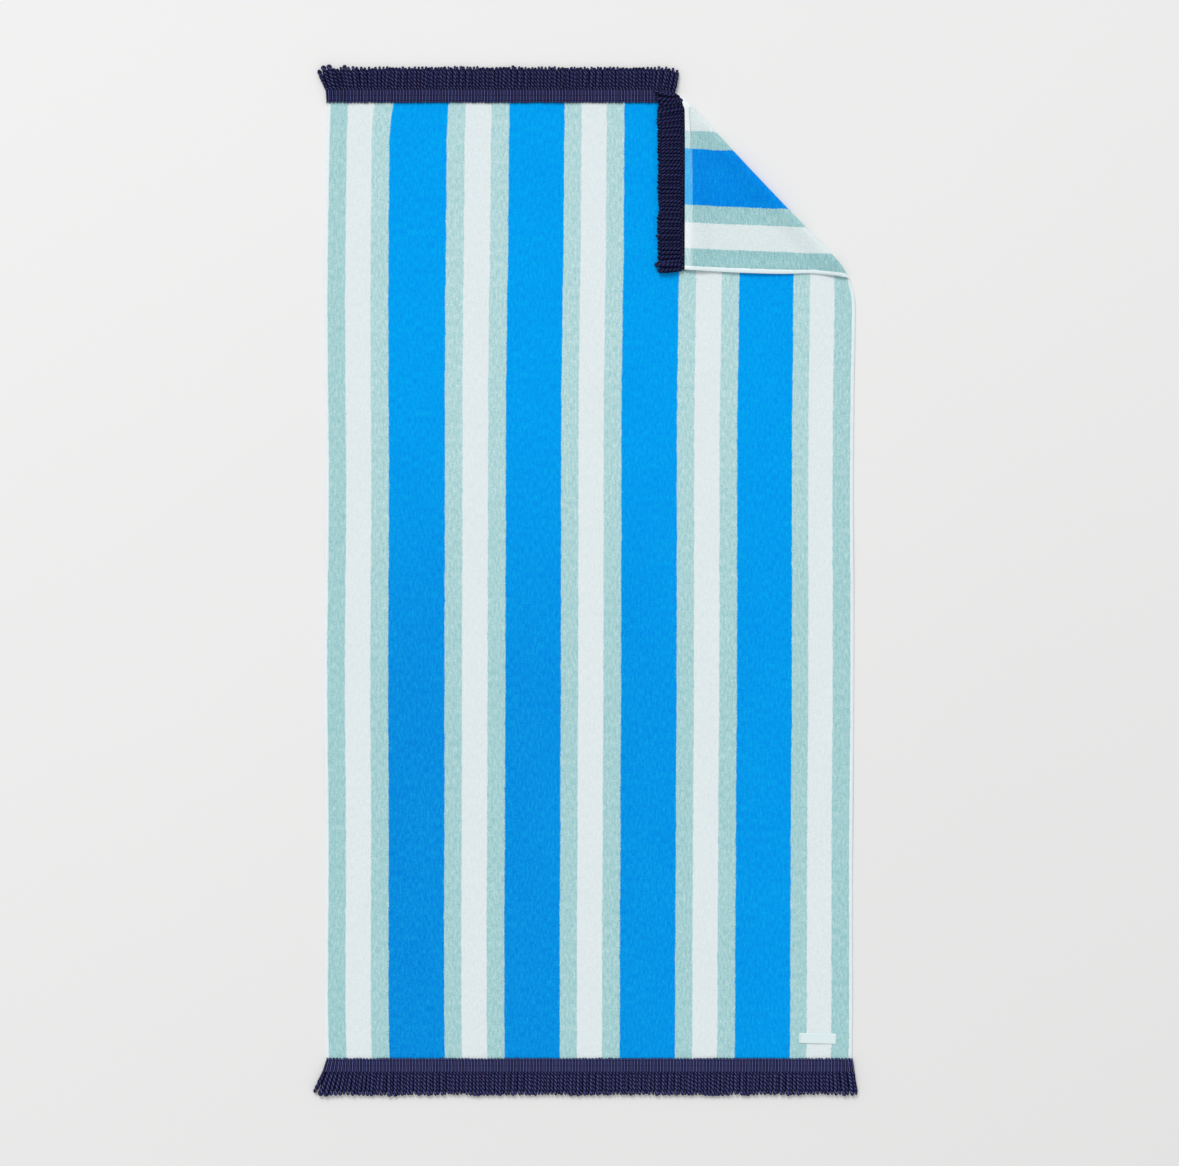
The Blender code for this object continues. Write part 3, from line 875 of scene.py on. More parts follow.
    def thickness(self, flat: Array) -> tuple[Array, Array]:
        """How far the front and the back face stand off the middle surface.

        Both come together round the edge on a quarter circle. A hem is a doubled edge, so it swells, and
        dips at its row of stitches. The terry between has low swells.

        Args:
            flat: Points of the flat cloth, (..., 2).

        Returns:
            The front's and the back's distance.
        """
        from_side = self.width / 2 - np.abs(flat[..., 0])
        from_end = self.length / 2 - np.abs(flat[..., 1])
        nearest = np.minimum(from_side, from_end)
        share = np.clip(1 - nearest / self.rounding, 0, 1)
        rounding = np.maximum(np.sqrt(1 - share**2), 0.35)
        turn = 2 * np.pi * flat[..., 1] / self.pucker_length + 3 * np.sin(flat[..., 1] * 90)
        doubled = (self.swollen + self.puckers * np.sin(turn)) * ease(from_side, 0, 3 * MM)
        doubled = doubled * (1 - ease(from_side, 5.0 * MM, self.hem_edge))
        stitched = -self.stitched_in * np.exp(-(((from_side - self.hem_edge) / (0.7 * MM)) ** 2))
        inside = ease(nearest, 8 * MM, 30 * MM)
        low = self.unevenness * swells(flat, 11, (0.05, 0.20)) * inside
        front = self.half_thick + doubled + stitched + low
        on_flap = ease(self.past(flat), 0, 10 * MM)
        end_doubled = self.swollen_end * (1 - ease(from_end, 12.6 * MM, 14.6 * MM))
        end_stitched = -self.stitched_in_end * np.exp(-(((from_end - self.end_hem) / (0.9 * MM)) ** 2))
        back = self.half_thick + on_flap * (doubled + stitched + end_doubled + end_stitched + low)
        thin = 0.65 + 0.35 * ease(from_side, 0, 4 * MM)
        return front * rounding * thin, back * rounding * np.where(on_flap > 0.5, thin, 1)

    def build(self, finish: StripedTerry) -> bpy.types.Object:
        """The cloth as one closed sheet.

        Args:
            finish: The terry that it is woven in.

        Returns:
            The piece.
        """
        x, y = np.meshgrid(self.columns(), self.rows())
        flat = np.stack([x, y], -1)
        places, normals = self.with_normals(flat)
        front, back = self.thickness(flat)
        moved = places + self.drifted(flat)[..., None] * np.array([1, 0, 0])
        lie = swells(flat, 5, (0.10, 0.30)) * ease(self.past(flat), 10 * MM, 40 * MM) * self.flap_unevenness
        moved[..., 2] += np.maximum(lie, -self.flap_unevenness / 2)
        half = np.array([self.width, self.length]) / 2
        place = flat + half + self.gathered(flat)[..., None] * np.array([1, 0])
        sheet = slab(moved + normals * front[..., None], moved - normals * back[..., None], place)
        cloth = new_piece("terry_cloth", sheet, finish.material(self.width, self.length))
        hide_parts("towel")
        return cloth


# ------------------------------------------------------------------------------------------ the fringe


# How ropes that are thicker than their pitch make room for each other: each one's shift along the heading,
# in pitches, and its level, which is 0 on the ground and 1 on top of its neighbours.
BY_TWOS = ((0.08, 1.0), (-0.08, 0.1))
THIRD_BELOW = ((0.08, 0.55), (0.18, 0.75), (0.02, 0.0), (-0.08, 0.6))
SECOND_BELOW = ((0.08, 0.6), (-0.02, 0.0), (-0.18, 0.75), (-0.08, 0.55))
ROPE_STARTS = 0.03  # the share of its way to the tip at which a rope begins


@dataclass(frozen=True)
class RunPlan:
    """A stretch of the fringe that shows: which loops it has and how they lie.

    A lean is a rope's shift along the heading over its own length.
    """

    title: str
    node: str
    end: int  # 1 on the top end of the cloth and -1 on the bottom one
    low: int  # its first loop
    high: int  # and the one after its last
    reach: float  # how far a rope goes past the heading
    seed: int
    light: float  # painted light and shade: how light the whole run is drawn, for how the lamp falls on its ropes
    widened: tuple[float, float]  # how far the heading is pulled out at its left and right end
    splay: tuple[float, float]  # and its outer edge more than its inner one
    splay_loops: tuple[float, float]  # over how many loops both die out
    first_leans: tuple[float, ...]
    last_leans: tuple[float, ...]
    placed: tuple[tuple[float, ...], ...]  # ropes that strayed: number, tip's x and y in mm, and level


class Run(Enum):
    """The three stretches of fringe that show."""

    # The plans' light, 1.15, 0.82 and 0.47, is painted light and shade: the runs are drawn lighter or darker
    # for how the lamp falls on them.
    BOTTOM = RunPlan(
        "bottom", "fringe_bottom", -1, 0, 160, 38.6 * MM, 21, 1.15,
        (-2.2 * MM, 1.4 * MM), (-7.5 * MM, 3.3 * MM), (6.0, 3.0),
        (-0.455, -0.33, -0.265, -0.24, -0.215, -0.19, -0.165, -0.145, -0.125, -0.105, -0.09, -0.075, -0.06,
         -0.05, -0.04, -0.03, -0.02, -0.01),
        (0.005, 0.01, 0.02, 0.03, 0.04, 0.05, 0.06, 0.07, 0.085, 0.10, 0.115, 0.13, 0.145, 0.16),
        ((0, -466.6, -867.2, 0.2), (1, -457.0, -871.6, 0.5), (2, -447.4, -872.4, 1.0)),
    )
    TOP = RunPlan(
        "top", "fringe_top", 1, 0, 106, 36.6 * MM, 34, 0.82,
        (-5.4 * MM, 0.0), (-2.0 * MM, 0.0), (6.0, 1.0),
        (-0.45, -0.33, -0.27, -0.24, -0.22, -0.20, -0.18, -0.16, -0.14, -0.12, -0.10, -0.085, -0.07, -0.055,
         -0.04, -0.03, -0.02, -0.01),
        (0.01, 0.02, 0.04, 0.06, 0.08, 0.10, 0.12, 0.14, 0.155, 0.17, 0.18),
        (
            (0, -459.5, 864.8, 0.1), (1, -451.9, 870.6, 0.9), (2, -442.5, 872.3, 1.0),
            (3, -435.0, 866.0, 0.0), (4, -428.8, 866.5, 0.1), (5, -422.5, 869.5, 0.5),
            (6, -416.5, 872.5, 1.0),
        ),
    )
    TURNED = RunPlan(
        "turned", "fringe_turned", 1, 106, 160, 42.4 * MM, 55, 0.47,
        (0.0, 0.0), (0.0, 5.2 * MM), (1.0, 2.5),
        (0.0, 0.30, 0.35, 0.30, 0.25, 0.20, 0.19, 0.18, 0.17, 0.155, 0.14, 0.125, 0.11, 0.095, 0.08, 0.065,
         0.05, 0.04, 0.03, 0.02, 0.01),
        (0.02, 0.04, 0.06, 0.10, 0.20, 0.34),
        (
            (0, 112.5, 829.1, 1.0), (1, 116.4, 816.9, 0.3), (2, 121.5, 809.2, 0.8), (3, 119.5, 804.0, 0.3),
            (4, 118.0, 798.0, 0.6), (52, 114.7, 536.0, 0.8), (53, 120.5, 526.4, 0.3),
        ),
    )


@dataclass
class Ropes:
    """The middle lines of a run's ropes, with what their strands need."""

    axis: Array  # the lines' points, (ropes, steps, 3)
    root: Array  # where each rope leaves the heading, (ropes, 3)
    level: Array  # 0 on what the run lies on, and 1 on top of the neighbours
    turned: Array  # how far the rope has twisted at each point, in radians, (ropes, steps, 1)
    fat: Array  # how much thicker than usual it is there, (ropes, steps)
    filled: Array  # the radius of what fills it

    def __post_init__(self) -> None:
        """Works out the directions ahead, beside and above each point."""
        self.ahead = unit(np.gradient(self.axis, axis=1))
        self.beside = unit(np.cross(self.ahead, UP))
        self.above = np.cross(self.beside, self.ahead)


@dataclass
class BullionFringe:
    """A fringe of twisted loops with its heading, sewn along both ends of the cloth.

    Every yarn comes down the heading as one rib and goes up again as the next. Between them it hangs from
    the heading as a loop, and its two legs twist round each other into a rope.
    """

    cloth: TowelCloth
    loops: int = 160
    left: float = -446.6 * MM
    right: float = 445.6 * MM
    heading_wide: float = 20.4 * MM
    stands_out: float = 0.6 * MM
    rib_radius: float = 1.38 * MM
    strand: float = 1.9 * MM  # the radius of a leg in a rope
    offset: float = 1.95 * MM  # of its middle from the rope's
    core: tuple[float, float] = (2.95 * MM, 3.45 * MM)  # the least and the most radius of what fills it
    core_flat: float = 0.6  # the core's height, as a share of its width
    core_sides: int = 6
    core_painted_shade: float = 0.2  # painted shade: how light the dark core is drawn, as a share of its run's painted light
    fattest: float = 1.3  # the most that a rope widens where its neighbours leave room
    alone: float = 8.5 * MM  # an end rope that stands further from the next one than this isn't widened
    lead: float = 13.6 * MM  # one full turn of the rope
    reach_varies: float = 1.0 * MM
    reach_on_top: float = 1.5 * MM  # how much further a rope reaches when it lies on its neighbours
    tip_varies: float = 0.5 * MM
    bulge: float = 4.2 * MM  # of the first turned ropes over the crease
    rides: float = 2.7 * MM  # how far a rope that lies on its neighbours is raised
    on_heading: tuple[float, ...] = (1.0, 0.9, 0.6, 0.2)  # how far it lifts the first turned ropes
    handles: tuple[float, float] = (0.30, 0.40)  # a rope's Bezier handles, as shares of its length
    comes_down: tuple[float, float] = (0.42, 0.25)  # and the share by which it is down, on floor and cloth
    sides: int = 8
    steps: int = 22  # along a rope
    rib_contrast: float = 0.48  # in tone, between the two legs of a loop in the heading
    painted_under_shade: float = 0.3  # painted shade: the tone of a leg where it goes under
    painted_over_light: float = 0.66  # painted light: what is added where it comes over
    ground: tuple[float, float] = (0.1 * MM, 1.3 * MM)  # the heading's ground, from the cloth's front
    ground_edges: tuple[float, float] = (3.0 * MM, 0.6 * MM)  # from the ribs' inner and their outer ends
    thread: float = 0.36 * MM  # the radius of a binding thread
    thread_rows: tuple[float, ...] = (3.2 * MM, 7.6 * MM, 12.0 * MM, 16.4 * MM)  # from the inner edge

    def __post_init__(self) -> None:
        """Works out the pitch and the height of the ribs over the cloth's middle surface."""
        self.pitch = (self.right - self.left) / self.loops
        self.edge = self.cloth.length / 2 + self.stands_out
        self.inner = self.edge - self.heading_wide
        self.rib_height = self.cloth.half_thick + self.cloth.gap + self.rib_radius

    def splayed(self, plan: RunPlan, x: Array, out: Array) -> Array:
        """Flat points of the heading, which opens like a fan at the run's ends.

        Args:
            plan: The run.
            x: Where a rib starts, along the end.
            out: The distance from the cloth's middle line, between the heading's inner and outer edge.

        Returns:
            The flat points.
        """
        share = np.maximum(out - self.inner, 0) / self.heading_wide
        from_left = (x - self.left) / self.pitch - plan.low
        from_right = plan.high - (x - self.left) / self.pitch
        at_left = (plan.widened[0] + plan.splay[0] * share) * np.exp(-from_left / plan.splay_loops[0])
        at_right = (plan.widened[1] + plan.splay[1] * share) * np.exp(-from_right / plan.splay_loops[1])
        return np.stack([x + at_left + at_right, plan.end * out], -1)

    def arranged(self, count: int, draw: np.random.Generator) -> tuple[Array, Array]:
        """How ropes that are thicker than their pitch make room for each other.

        Stretches where every second rope rides on its two neighbours take turns with stretches where three
        lie side by side over a fourth.

        Args:
            count: The number of ropes.
            draw: The random source.

        Returns:
            Each rope's shift along the heading, and its level between 0 and 1.
        """
        lie = []
        by_twos = bool(draw.integers(2))
        while len(lie) < count:
            for _ in range(draw.integers(2, 5)):
                if by_twos:
                    lie += BY_TWOS
                else:
                    lie += THIRD_BELOW if draw.integers(2) else SECOND_BELOW
            by_twos = not by_twos
        shift, level = np.array(lie[:count]).T
        return shift * self.pitch, level

    def clumped(self, count: int, draw: np.random.Generator) -> Array:
        """Chance values, one a rope, that neighbours share in part because they lean on each other."""
        places = np.arange(0, count + 8, 4)
        shared = np.interp(np.arange(count), places, draw.normal(0, 0.85, len(places)))
        return shared + draw.normal(0, 0.55, count)

    def leans(self, plan: RunPlan, count: int) -> Array:
        """Each rope's lean: the plan's own at both ends of the run, and none between."""
        lean = np.zeros(count)
        lean[: len(plan.first_leans)] = plan.first_leans
        if plan.last_leans:
            lean[-len(plan.last_leans):] = plan.last_leans
        return lean

    def ropes(self, run: Run) -> Ropes:
        """The middle lines of a run's ropes.

        In plan each one is a Bezier curve that leaves the heading along its lean and ends at the rope's tip.
        Its height goes from the heading's to that of a rope that lies on the floor, the cloth or its
        neighbours.

        Args:
            run: The run.

        Returns:
            The ropes.
        """
        plan = run.value
        draw = np.random.default_rng(plan.seed)
        count = plan.high - plan.low
        x = self.left + (np.arange(plan.low, plan.high) + 0.5) * self.pitch
        root = self.cloth.on_front(self.splayed(plan, x, np.full(count, self.edge)), self.rib_height)
        shift, level = self.arranged(count, draw)
        length = plan.reach + self.clumped(count, draw) * self.reach_varies
        length = length + (level - 0.5) * self.reach_on_top
        lean = self.leans(plan, count)
        aside = shift + lean * length + self.clumped(count, draw) * self.tip_varies
        on_cloth = run is Run.TURNED
        ahead, beside = np.array([[-1.0, 0], [0, -1.0]] if on_cloth else [[0, plan.end], [1.0, 0]])
        rests = np.zeros(count)
        if on_cloth:
            length = length + root[:, 0] - self.cloth.corner_lands[0]
            rests[:] = 2 * self.cloth.half_thick + self.cloth.gap
            rests[: len(self.on_heading)] += np.array(self.on_heading) * self.cloth.heading_thick
        tip = root[:, :2] + ahead * length[:, None] + beside * aside[:, None]
        for number, *place, layer in plan.placed:
            tip[number] = np.array(place) * MM
            level[number] = layer

        share = np.linspace(ROPE_STARTS, 1, self.steps)[None, :, None]
        from_root, to_tip = root[:, None, :2], tip[:, None]
        far = np.linalg.norm(to_tip - from_root, axis=-1, keepdims=True)
        leaves = from_root + unit(ahead + beside * lean[:, None])[:, None] * far * self.handles[0]
        arrives = to_tip - unit(to_tip - leaves) * far * self.handles[1]
        flat = (
            from_root * (1 - share) ** 3
            + leaves * 3 * share * (1 - share) ** 2
            + arrives * 3 * share**2 * (1 - share)
            + to_tip * share**3
        )
        flat = flat + (beside * shift[:, None])[:, None] * (ease(share, 0.05, 0.45) - share**2)
        if on_cloth:
            bulge = self.bulge * np.exp(-np.arange(count) / 3)[:, None, None] * (1 - share) ** 1.5
            flat = flat + bulge * self.cloth.outward
        apart = np.linalg.norm(np.diff(flat, axis=0), axis=-1)
        first = np.where(apart[:1] < self.alone, apart[:1], 0)
        apart = np.concatenate([first, np.maximum(apart[1:], apart[:-1]), apart[-1:]])
        radius = self.offset + self.strand
        fat = np.clip(0.54 * apart / radius, 1, self.fattest)
        filled = np.clip(0.5 * apart + 0.3 * MM, self.core[0] * fat, self.core[1] * fat)

        raised = level[:, None, None] * self.rides * (1 - 0.85 * ease(share, 0.6, 1))
        lying = rests[:, None, None] + radius * fat[..., None] + raised
        high = root[:, None, 2:]
        height = high + (lying - high) * ease(share, 0.0, self.comes_down[on_cloth])
        slack = 0.05 * draw.uniform(-1, 1, count)[:, None, None] * np.sin(np.pi * share)
        turned = 2 * np.pi * (far / self.lead * (share + slack) + 0.04 * draw.normal(size=(count, 1, 1)))
        return Ropes(np.concatenate([flat, height], -1), root, level, turned, fat, filled)

    def ribs(self, run: Run, hand: int, inner: Array) -> tuple[Array, Array, Array]:
        """The ribs that a run's loops make in the heading with one of their two legs.

        A rib starts in the scallop at the heading's inner edge, a quarter circle from the point midway to
        the next loop, and runs straight out.

        Args:
            run: The run.
            hand: 1 for the legs on the loops' right, and -1 for those on their left.
            inner: Where each loop's scallops reach, (loops, 1).

        Returns:
            The ribs' points (loops, 7, 3), and there the ways up and aside.
        """
        plan, quarter = run.value, self.pitch / 4
        bend = np.array([0, math.pi / 4])
        sideways = np.concatenate([2 * quarter - quarter * np.sin(bend), np.full(5, quarter)])
        straight = inner + quarter + (self.edge - inner - quarter) * np.linspace(0, 1, 5)
        out = np.concatenate([inner + quarter * (1 - np.cos(bend)), straight], 1)
        middle = self.left + (np.arange(plan.low, plan.high) + 0.5) * self.pitch
        flat = self.splayed(plan, middle[:, None] + hand * sideways, out)
        places, normals = self.cloth.with_normals(flat)
        away = self.cloth.laid(flat + np.array([hand * 0.2 * MM, 0])) - places
        upward = normals * np.where(normals[..., 2:] < 0, -1, 1)
        return places + normals * self.rib_height, upward, unit(away)

    def loops_of(self, run: Run, ropes: Ropes) -> Surface:
        """Every loop of a run, from the heading round the rope's tip and back.

        In a rope a leg goes round the axis at offset * (cos a, sin a), with a growing along the rope, and
        the other leg half a turn on. A half circle joins the two at the tip. A leg is drawn darker where it
        goes under and lighter where it comes over, and a rope that lies lower is drawn darker: painted shade
        and light.

        Args:
            run: The run.
            ropes: Its ropes.

        Returns:
            The loops as tubes.
        """
        plan = run.value
        draw = np.random.default_rng(plan.seed + 1)
        count, steps = ropes.axis.shape[:2]
        share = np.linspace(ROPE_STARTS, 1, steps)[None, :, None]
        joined = ease(share, 0.0, 0.16)
        inner = self.inner + draw.normal(0, 0.35 * MM, (count, 1))
        legs = []
        for hand in (1, -1):
            rib, upward, away = self.ribs(run, hand, inner)
            phase = 0.0 if hand * plan.end > 0 else math.pi
            spoke = np.cos(ropes.turned + phase) * ropes.beside + np.sin(ropes.turned + phase) * ropes.above
            spoke = spoke * ropes.fat[..., None]
            off = (rib[:, -1] - ropes.root)[:, None] * (1 - joined) + spoke * self.offset * joined
            shown = unit(upward[:, -1:] * (1 - joined) + UP * joined)
            thick = self.rib_radius + (self.strand * ropes.fat - self.rib_radius) * joined[..., 0]
            own = draw.random((count, 1))
            # the rib's tone: the run's painted light, the leg's hand and a random tone of its own
            rib_tone_and_shade = plan.light * (1.02 + self.rib_contrast * hand) * (0.64 + 0.32 * own)
            # painted shade and light: darker where the leg turns under, lighter where it comes over, and
            # darker for a rope that lies lower
            over = (0.5 + 0.5 * np.clip(spoke[..., 2], -1, 1)) ** 1.2
            over = self.painted_under_shade + self.painted_over_light * over
            rope_tone_and_shade = plan.light * (0.45 + 0.45 * ropes.level[:, None] + 0.2 * own) * over
            passed = ease(share[..., 0], 0, 0.2)
            rope_tone_and_shade = 0.9 * rib_tone_and_shade * (1 - passed) + rope_tone_and_shade * passed
            legs.append(
                {
                    "path": np.concatenate([rib, ropes.axis + off], 1),
                    "side": np.concatenate([away, unit(off)], 1),
                    "facing": np.concatenate([upward, shown], 1),
                    "radius": np.concatenate([np.full(rib.shape[:2], self.rib_radius), thick], 1),
                    "tone": np.concatenate([rib_tone_and_shade * np.ones((1, rib.shape[1])), rope_tone_and_shade], 1),
                }
            )
        first, last = legs[0]["path"][:, -1], legs[1]["path"][:, -1]
        centre = (first + last) / 2
        spoke = (first - centre)[:, None]
        bow = np.array([0.25, 0.5, 0.75])[None, :, None] * math.pi
        reach = np.linalg.norm(spoke, axis=-1, keepdims=True) * ropes.ahead[:, -1:]
        around = np.cos(bow) * spoke + np.sin(bow) * reach
        tip = {
            "path": centre[:, None] + around,
            "side": unit(around),
            "facing": np.broadcast_to(UP, around.shape),
            "radius": self.strand * ropes.fat[:, -1:] * np.ones((1, 3)),
            "tone": np.repeat(legs[0]["tone"][:, -1:], 3, axis=1),
        }
        whole = {
            key: np.concatenate([legs[0][key], tip[key], legs[1][key][:, ::-1]], 1) for key in tip
        }
        return tubes(
            whole["path"], whole["side"], whole["facing"], whole["radius"], self.sides, whole["tone"]
        )

    def cores(self, run: Run, ropes: Ropes) -> Surface:
        """What fills the ropes between their legs: flattened tubes drawn dark, as painted shade between the
        legs and the ropes.

        Where the ropes leave the heading, the cores are thin on the turned run and low on the others.

        Args:
            run: The run.
            ropes: Its ropes.

        Returns:
            The cores as tubes.
        """
        every = slice(0, None, 2)
        axis = ropes.axis[:, every].copy()
        share = np.linspace(0, 1, axis.shape[1])
        radii = ropes.filled[:, every] * (1 - 0.25 * ease(share, 0.95, 1))
        early = 1 - ease(share, 0.06, 0.32)
        if run is Run.TURNED:
            radii = radii - (radii - 1.3 * MM) * early
        else:
            axis[..., 2] -= (self.core_flat * radii - 1.2 * MM) * early
        # painted shade: the cores are drawn dark
        tone = np.full(axis.shape[:2], self.core_painted_shade * run.value.light)
        core = tubes(axis, ropes.beside[:, every], ropes.above[:, every], radii, self.core_sides, tone)
        points = core.points.reshape(*axis.shape[:2], self.core_sides, 3)
        middle = axis[..., None, 2]
        points[..., 2] = middle + self.core_flat * (points[..., 2] - middle)
        return Surface(points.reshape(-1, 3), core.quads, core.corner_map, None, core.point_values)

    def cords(self, run: Run, finish: bpy.types.Material) -> bpy.types.Object:
        """A run's loops as one mesh of tubes."""
        ropes = self.ropes(run)
        surface = self.loops_of(run, ropes).joined(self.cores(run, ropes))
        return new_piece(f"bullion_{run.value.title}", surface, finish)

    def heading(self, run: Run, finish: bpy.types.Material) -> bpy.types.Object:
        """The heading's ground under the ribs, and the binding threads that weave over them.

        A binding thread goes over and under rib after rib: a cosine of one rib's height, in rows.

        Args:
            run: The run.
            finish: The yarn.

        Returns:
            The piece.
        """
        plan = run.value
        start, stop = (self.left + number * self.pitch for number in (plan.low, plan.high))
        across = np.linspace(start, stop, 2 * (plan.high - plan.low) + 1)
        out = np.linspace(self.inner + self.ground_edges[0], self.edge + self.ground_edges[1], 6)
        x, out = np.meshgrid(across, out if plan.end > 0 else out[::-1])
        flat = self.splayed(plan, x, out)
        bottom, top = (
            self.cloth.on_front(flat, self.cloth.half_thick + self.cloth.gap + over) for over in self.ground
        )
        ground = slab(top, bottom, flat)
        size = len(ground.points)
        # painted shade: the ground under the ribs is drawn dark, low in tone and short of a full crest
        ground.point_values = {"tone": np.full(size, 0.1), "painted_crest_light": np.full(size, 0.9)}
        ground.face_values = None

        rows = self.inner + np.array(self.thread_rows)
        x = np.linspace(start + 0.3 * MM, stop - 0.3 * MM, 8 * (plan.high - plan.low))
        x, out = np.meshgrid(x, rows)
        places, normals = self.cloth.with_normals(self.splayed(plan, x, out))
        odd = math.pi * (np.arange(len(rows)) % 2)[:, None]
        swing = np.cos(2 * np.pi * (x - self.left) / (self.pitch / 2) + odd)
        height = self.rib_height + self.rib_radius * (0.72 - 0.30 * swing) + 0.1 * MM
        path = places + normals * height[..., None]
        radii = np.full(path.shape[:2], self.thread)
        threads = tubes(path, normals, normals, radii, 4, np.full(path.shape[:2], 0.6))
        return new_piece(f"heading_{plan.title}", ground.joined(threads), finish)

    def make(self, run: Run, finish: bpy.types.Material) -> list[bpy.types.Object]:
        """A run's ropes and its heading, in place of its node."""
        pieces = [self.cords(run, finish), self.heading(run, finish)]
        for piece in pieces:
            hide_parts(run.value.node)
        return pieces


# ---------------------------------------------------------------------------------- label and stitches


@dataclass
class SewnLabel:
    """A small bare woven tape, sewn on by its two turned-under ends."""

    cloth: TowelCloth
    long: float = 63 * MM
    wide: float = 17.5 * MM
    thick: float = 0.6 * MM
    rises: float = 0.5 * MM
    place: tuple[float, float] = (387.8 * MM, -778.6 * MM)
    turned: float = math.radians(-1.5)
    turned_under: float = 5 * MM
    doubled: float = 0.7  # how much thicker it is there, as a share
    selvedge: float = 0.25  # and how much along its long edges

    def plan(self, x: Array, y: Array) -> Array:
        """Points of the tape in plan, from its own middle, turned and put in place."""
        cos, sin = math.cos(self.turned), math.sin(self.turned)
        return np.stack([self.place[0] + x * cos - y * sin, self.place[1] + x * sin + y * cos], -1)

    def rise(self, x: Array, y: Array) -> Array:
        """The height of the tape's underside: cos^2 along it, a little slack, and a soft ripple."""
        arch = np.cos(np.pi * x / self.long) ** 2
        ripple = 0.25 * np.sin(2 * np.pi * x / (23 * MM) + 1.2) * np.cos(np.pi * y / (30 * MM)) * arch
        return 2 * self.cloth.half_thick + self.cloth.gap + self.rises * (0.75 * arch + ripple)

    def build(self, finish: WovenTape) -> bpy.types.Object:
        """The tape as one closed sheet.

        Args:
            finish: The tape that it is cut from.

        Returns:
            The piece.
        """
        fold = self.long / 2 - self.turned_under
        half = self.long / 2
        across = stops((-half, -fold, 0.8 * MM), (-fold, fold, 1.6 * MM), (fold, half, 0.8 * MM))
        up = stops((-self.wide / 2, self.wide / 2, 1.2 * MM))
        x, y = np.meshgrid(across, up)
        plan = self.plan(x, y)
        low = self.rise(x, y)
        doubled = 1 + self.doubled * ease(np.abs(x), fold - 0.4 * MM, fold + 0.4 * MM)
        selvedge = 1 + self.selvedge * ease(np.abs(y), self.wide / 2 - 1.6 * MM, self.wide / 2 - 1.0 * MM)
        to_edge = np.minimum(half - np.abs(x), self.wide / 2 - np.abs(y))
        soft = 0.45 + 0.55 * ease(to_edge, 0, 0.7 * MM)
        high = low + self.thick * doubled * selvedge * soft
        top = np.concatenate([plan, high[..., None]], -1)
        bottom = np.concatenate([plan, low[..., None]], -1)
        tape = slab(top, bottom, np.stack([x, y], -1))
        tape.face_values = None
        label = new_piece("bare_label", tape, finish.material())
        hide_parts("sewn_label")
        return label


@dataclass
class Stitching:
    """The rows of sewing thread: down both side hems, along the end hems and through the label's ends."""

    cloth: TowelCloth
    label: SewnLabel
    stitch: float = 2.6 * MM
    space: float = 0.7 * MM
    thread: float = 0.22 * MM  # its radius
    dips: float = 0.5 * MM
    stands_out: float = 0.05 * MM
    label_stitch: float = 0.8  # the length of a stitch in the label, as a share of one in the hems
    label_inset: float = 2.0 * MM  # of its rows from the label's ends
    label_height: float = 1.75  # of those rows over the label's underside, in thicknesses of its tape

    def row(self, starts: Array, ends: Array, up: Array) -> Surface:
        """Stitches between pairs of points: each thread comes up, runs along and goes down again.

        Args:
            starts: Where each stitch comes up, on the surface, (stitches, 3).
            ends: Where it goes down.
            up: The surface's normal there.

        Returns:
            The stitches.
        """
        share = np.array([0, 0.18, 0.5, 0.82, 1])[None, :, None]
        arch = np.array([-1, 0.15, 0.35, 0.15, -1])[None, :, None] * self.dips
        path = starts[:, None] * (1 - share) + ends[:, None] * share + up[:, None] * arch
        facing = np.broadcast_to(up[:, None], path.shape)
        radii = np.full(path.shape[:2], self.thread)
        return tubes(path, facing, facing, radii, 4, np.full(path.shape[:2], 0.8))

    def on_cloth(self, start: tuple[float, float], end: tuple[float, float], back: bool) -> Surface:
        """A straight row on the cloth, from one flat point to another, on its front or its back."""
        start, end = np.array(start), np.array(end)
        count = int(np.linalg.norm(end - start) / self.stitch)
        first = start + (end - start) * (np.arange(count)[:, None] / count)
        last = first + (end - start) / np.linalg.norm(end - start) * (self.stitch - self.space)
        flat = np.stack([first, last])
        places, normals = self.cloth.with_normals(flat)
        places[..., 0] += self.cloth.drifted(flat)
        side = -1.0 if back else 1.0
        thick = self.cloth.thickness(flat)[1 if back else 0]
        surface = places + normals * (side * thick + side * self.stands_out)[..., None]
        return self.row(surface[0], surface[1], unit(normals[0] * side))

    def build(self, finish: bpy.types.Material) -> bpy.types.Object:
        """All the rows that show, as one piece."""
        cloth = self.cloth
        side = cloth.width / 2 - cloth.hem_edge
        top = cloth.length / 2
        edge = top - 21 * MM
        crossing = top - (side - cloth.crease_top[0]) * cloth.crease_slope
        rows = [
            ((-side, -edge), (-side, edge), False),
            ((side, -edge), (side, crossing - 8 * MM), False),
            ((side, crossing + 16 * MM), (side, top - 2 * MM), True),
        ]
        rows += [
            ((cloth.crease_top[0] + 24 * MM, top - along), (side, top - along), True)
            for along in (cloth.end_hem - 1.8 * MM, cloth.end_hem - 0.9 * MM, cloth.end_hem)
        ]
        sewn = None
        for start, end, back in rows:
            made = self.on_cloth(start, end, back)
            sewn = made if sewn is None else sewn.joined(made)
        label = self.label
        stitch = self.stitch * self.label_stitch
        y = np.arange(-label.wide / 2 + 1.4 * MM, label.wide / 2 - 2.2 * MM, stitch)
        for side in (-1, 1):
            x = np.full(len(y), side * (label.long / 2 - self.label_inset))
            high = label.rise(x, y) + label.thick * self.label_height
            starts = np.concatenate([label.plan(x, y), high[:, None]], -1)
            ends = np.concatenate([label.plan(x, y + stitch - self.space), high[:, None]], -1)
            sewn = sewn.joined(self.row(starts, ends, np.broadcast_to(UP, starts.shape)))
        return new_piece("hem_stitches", sewn, finish)


# ------------------------------------------------------------------------------------------- the studio


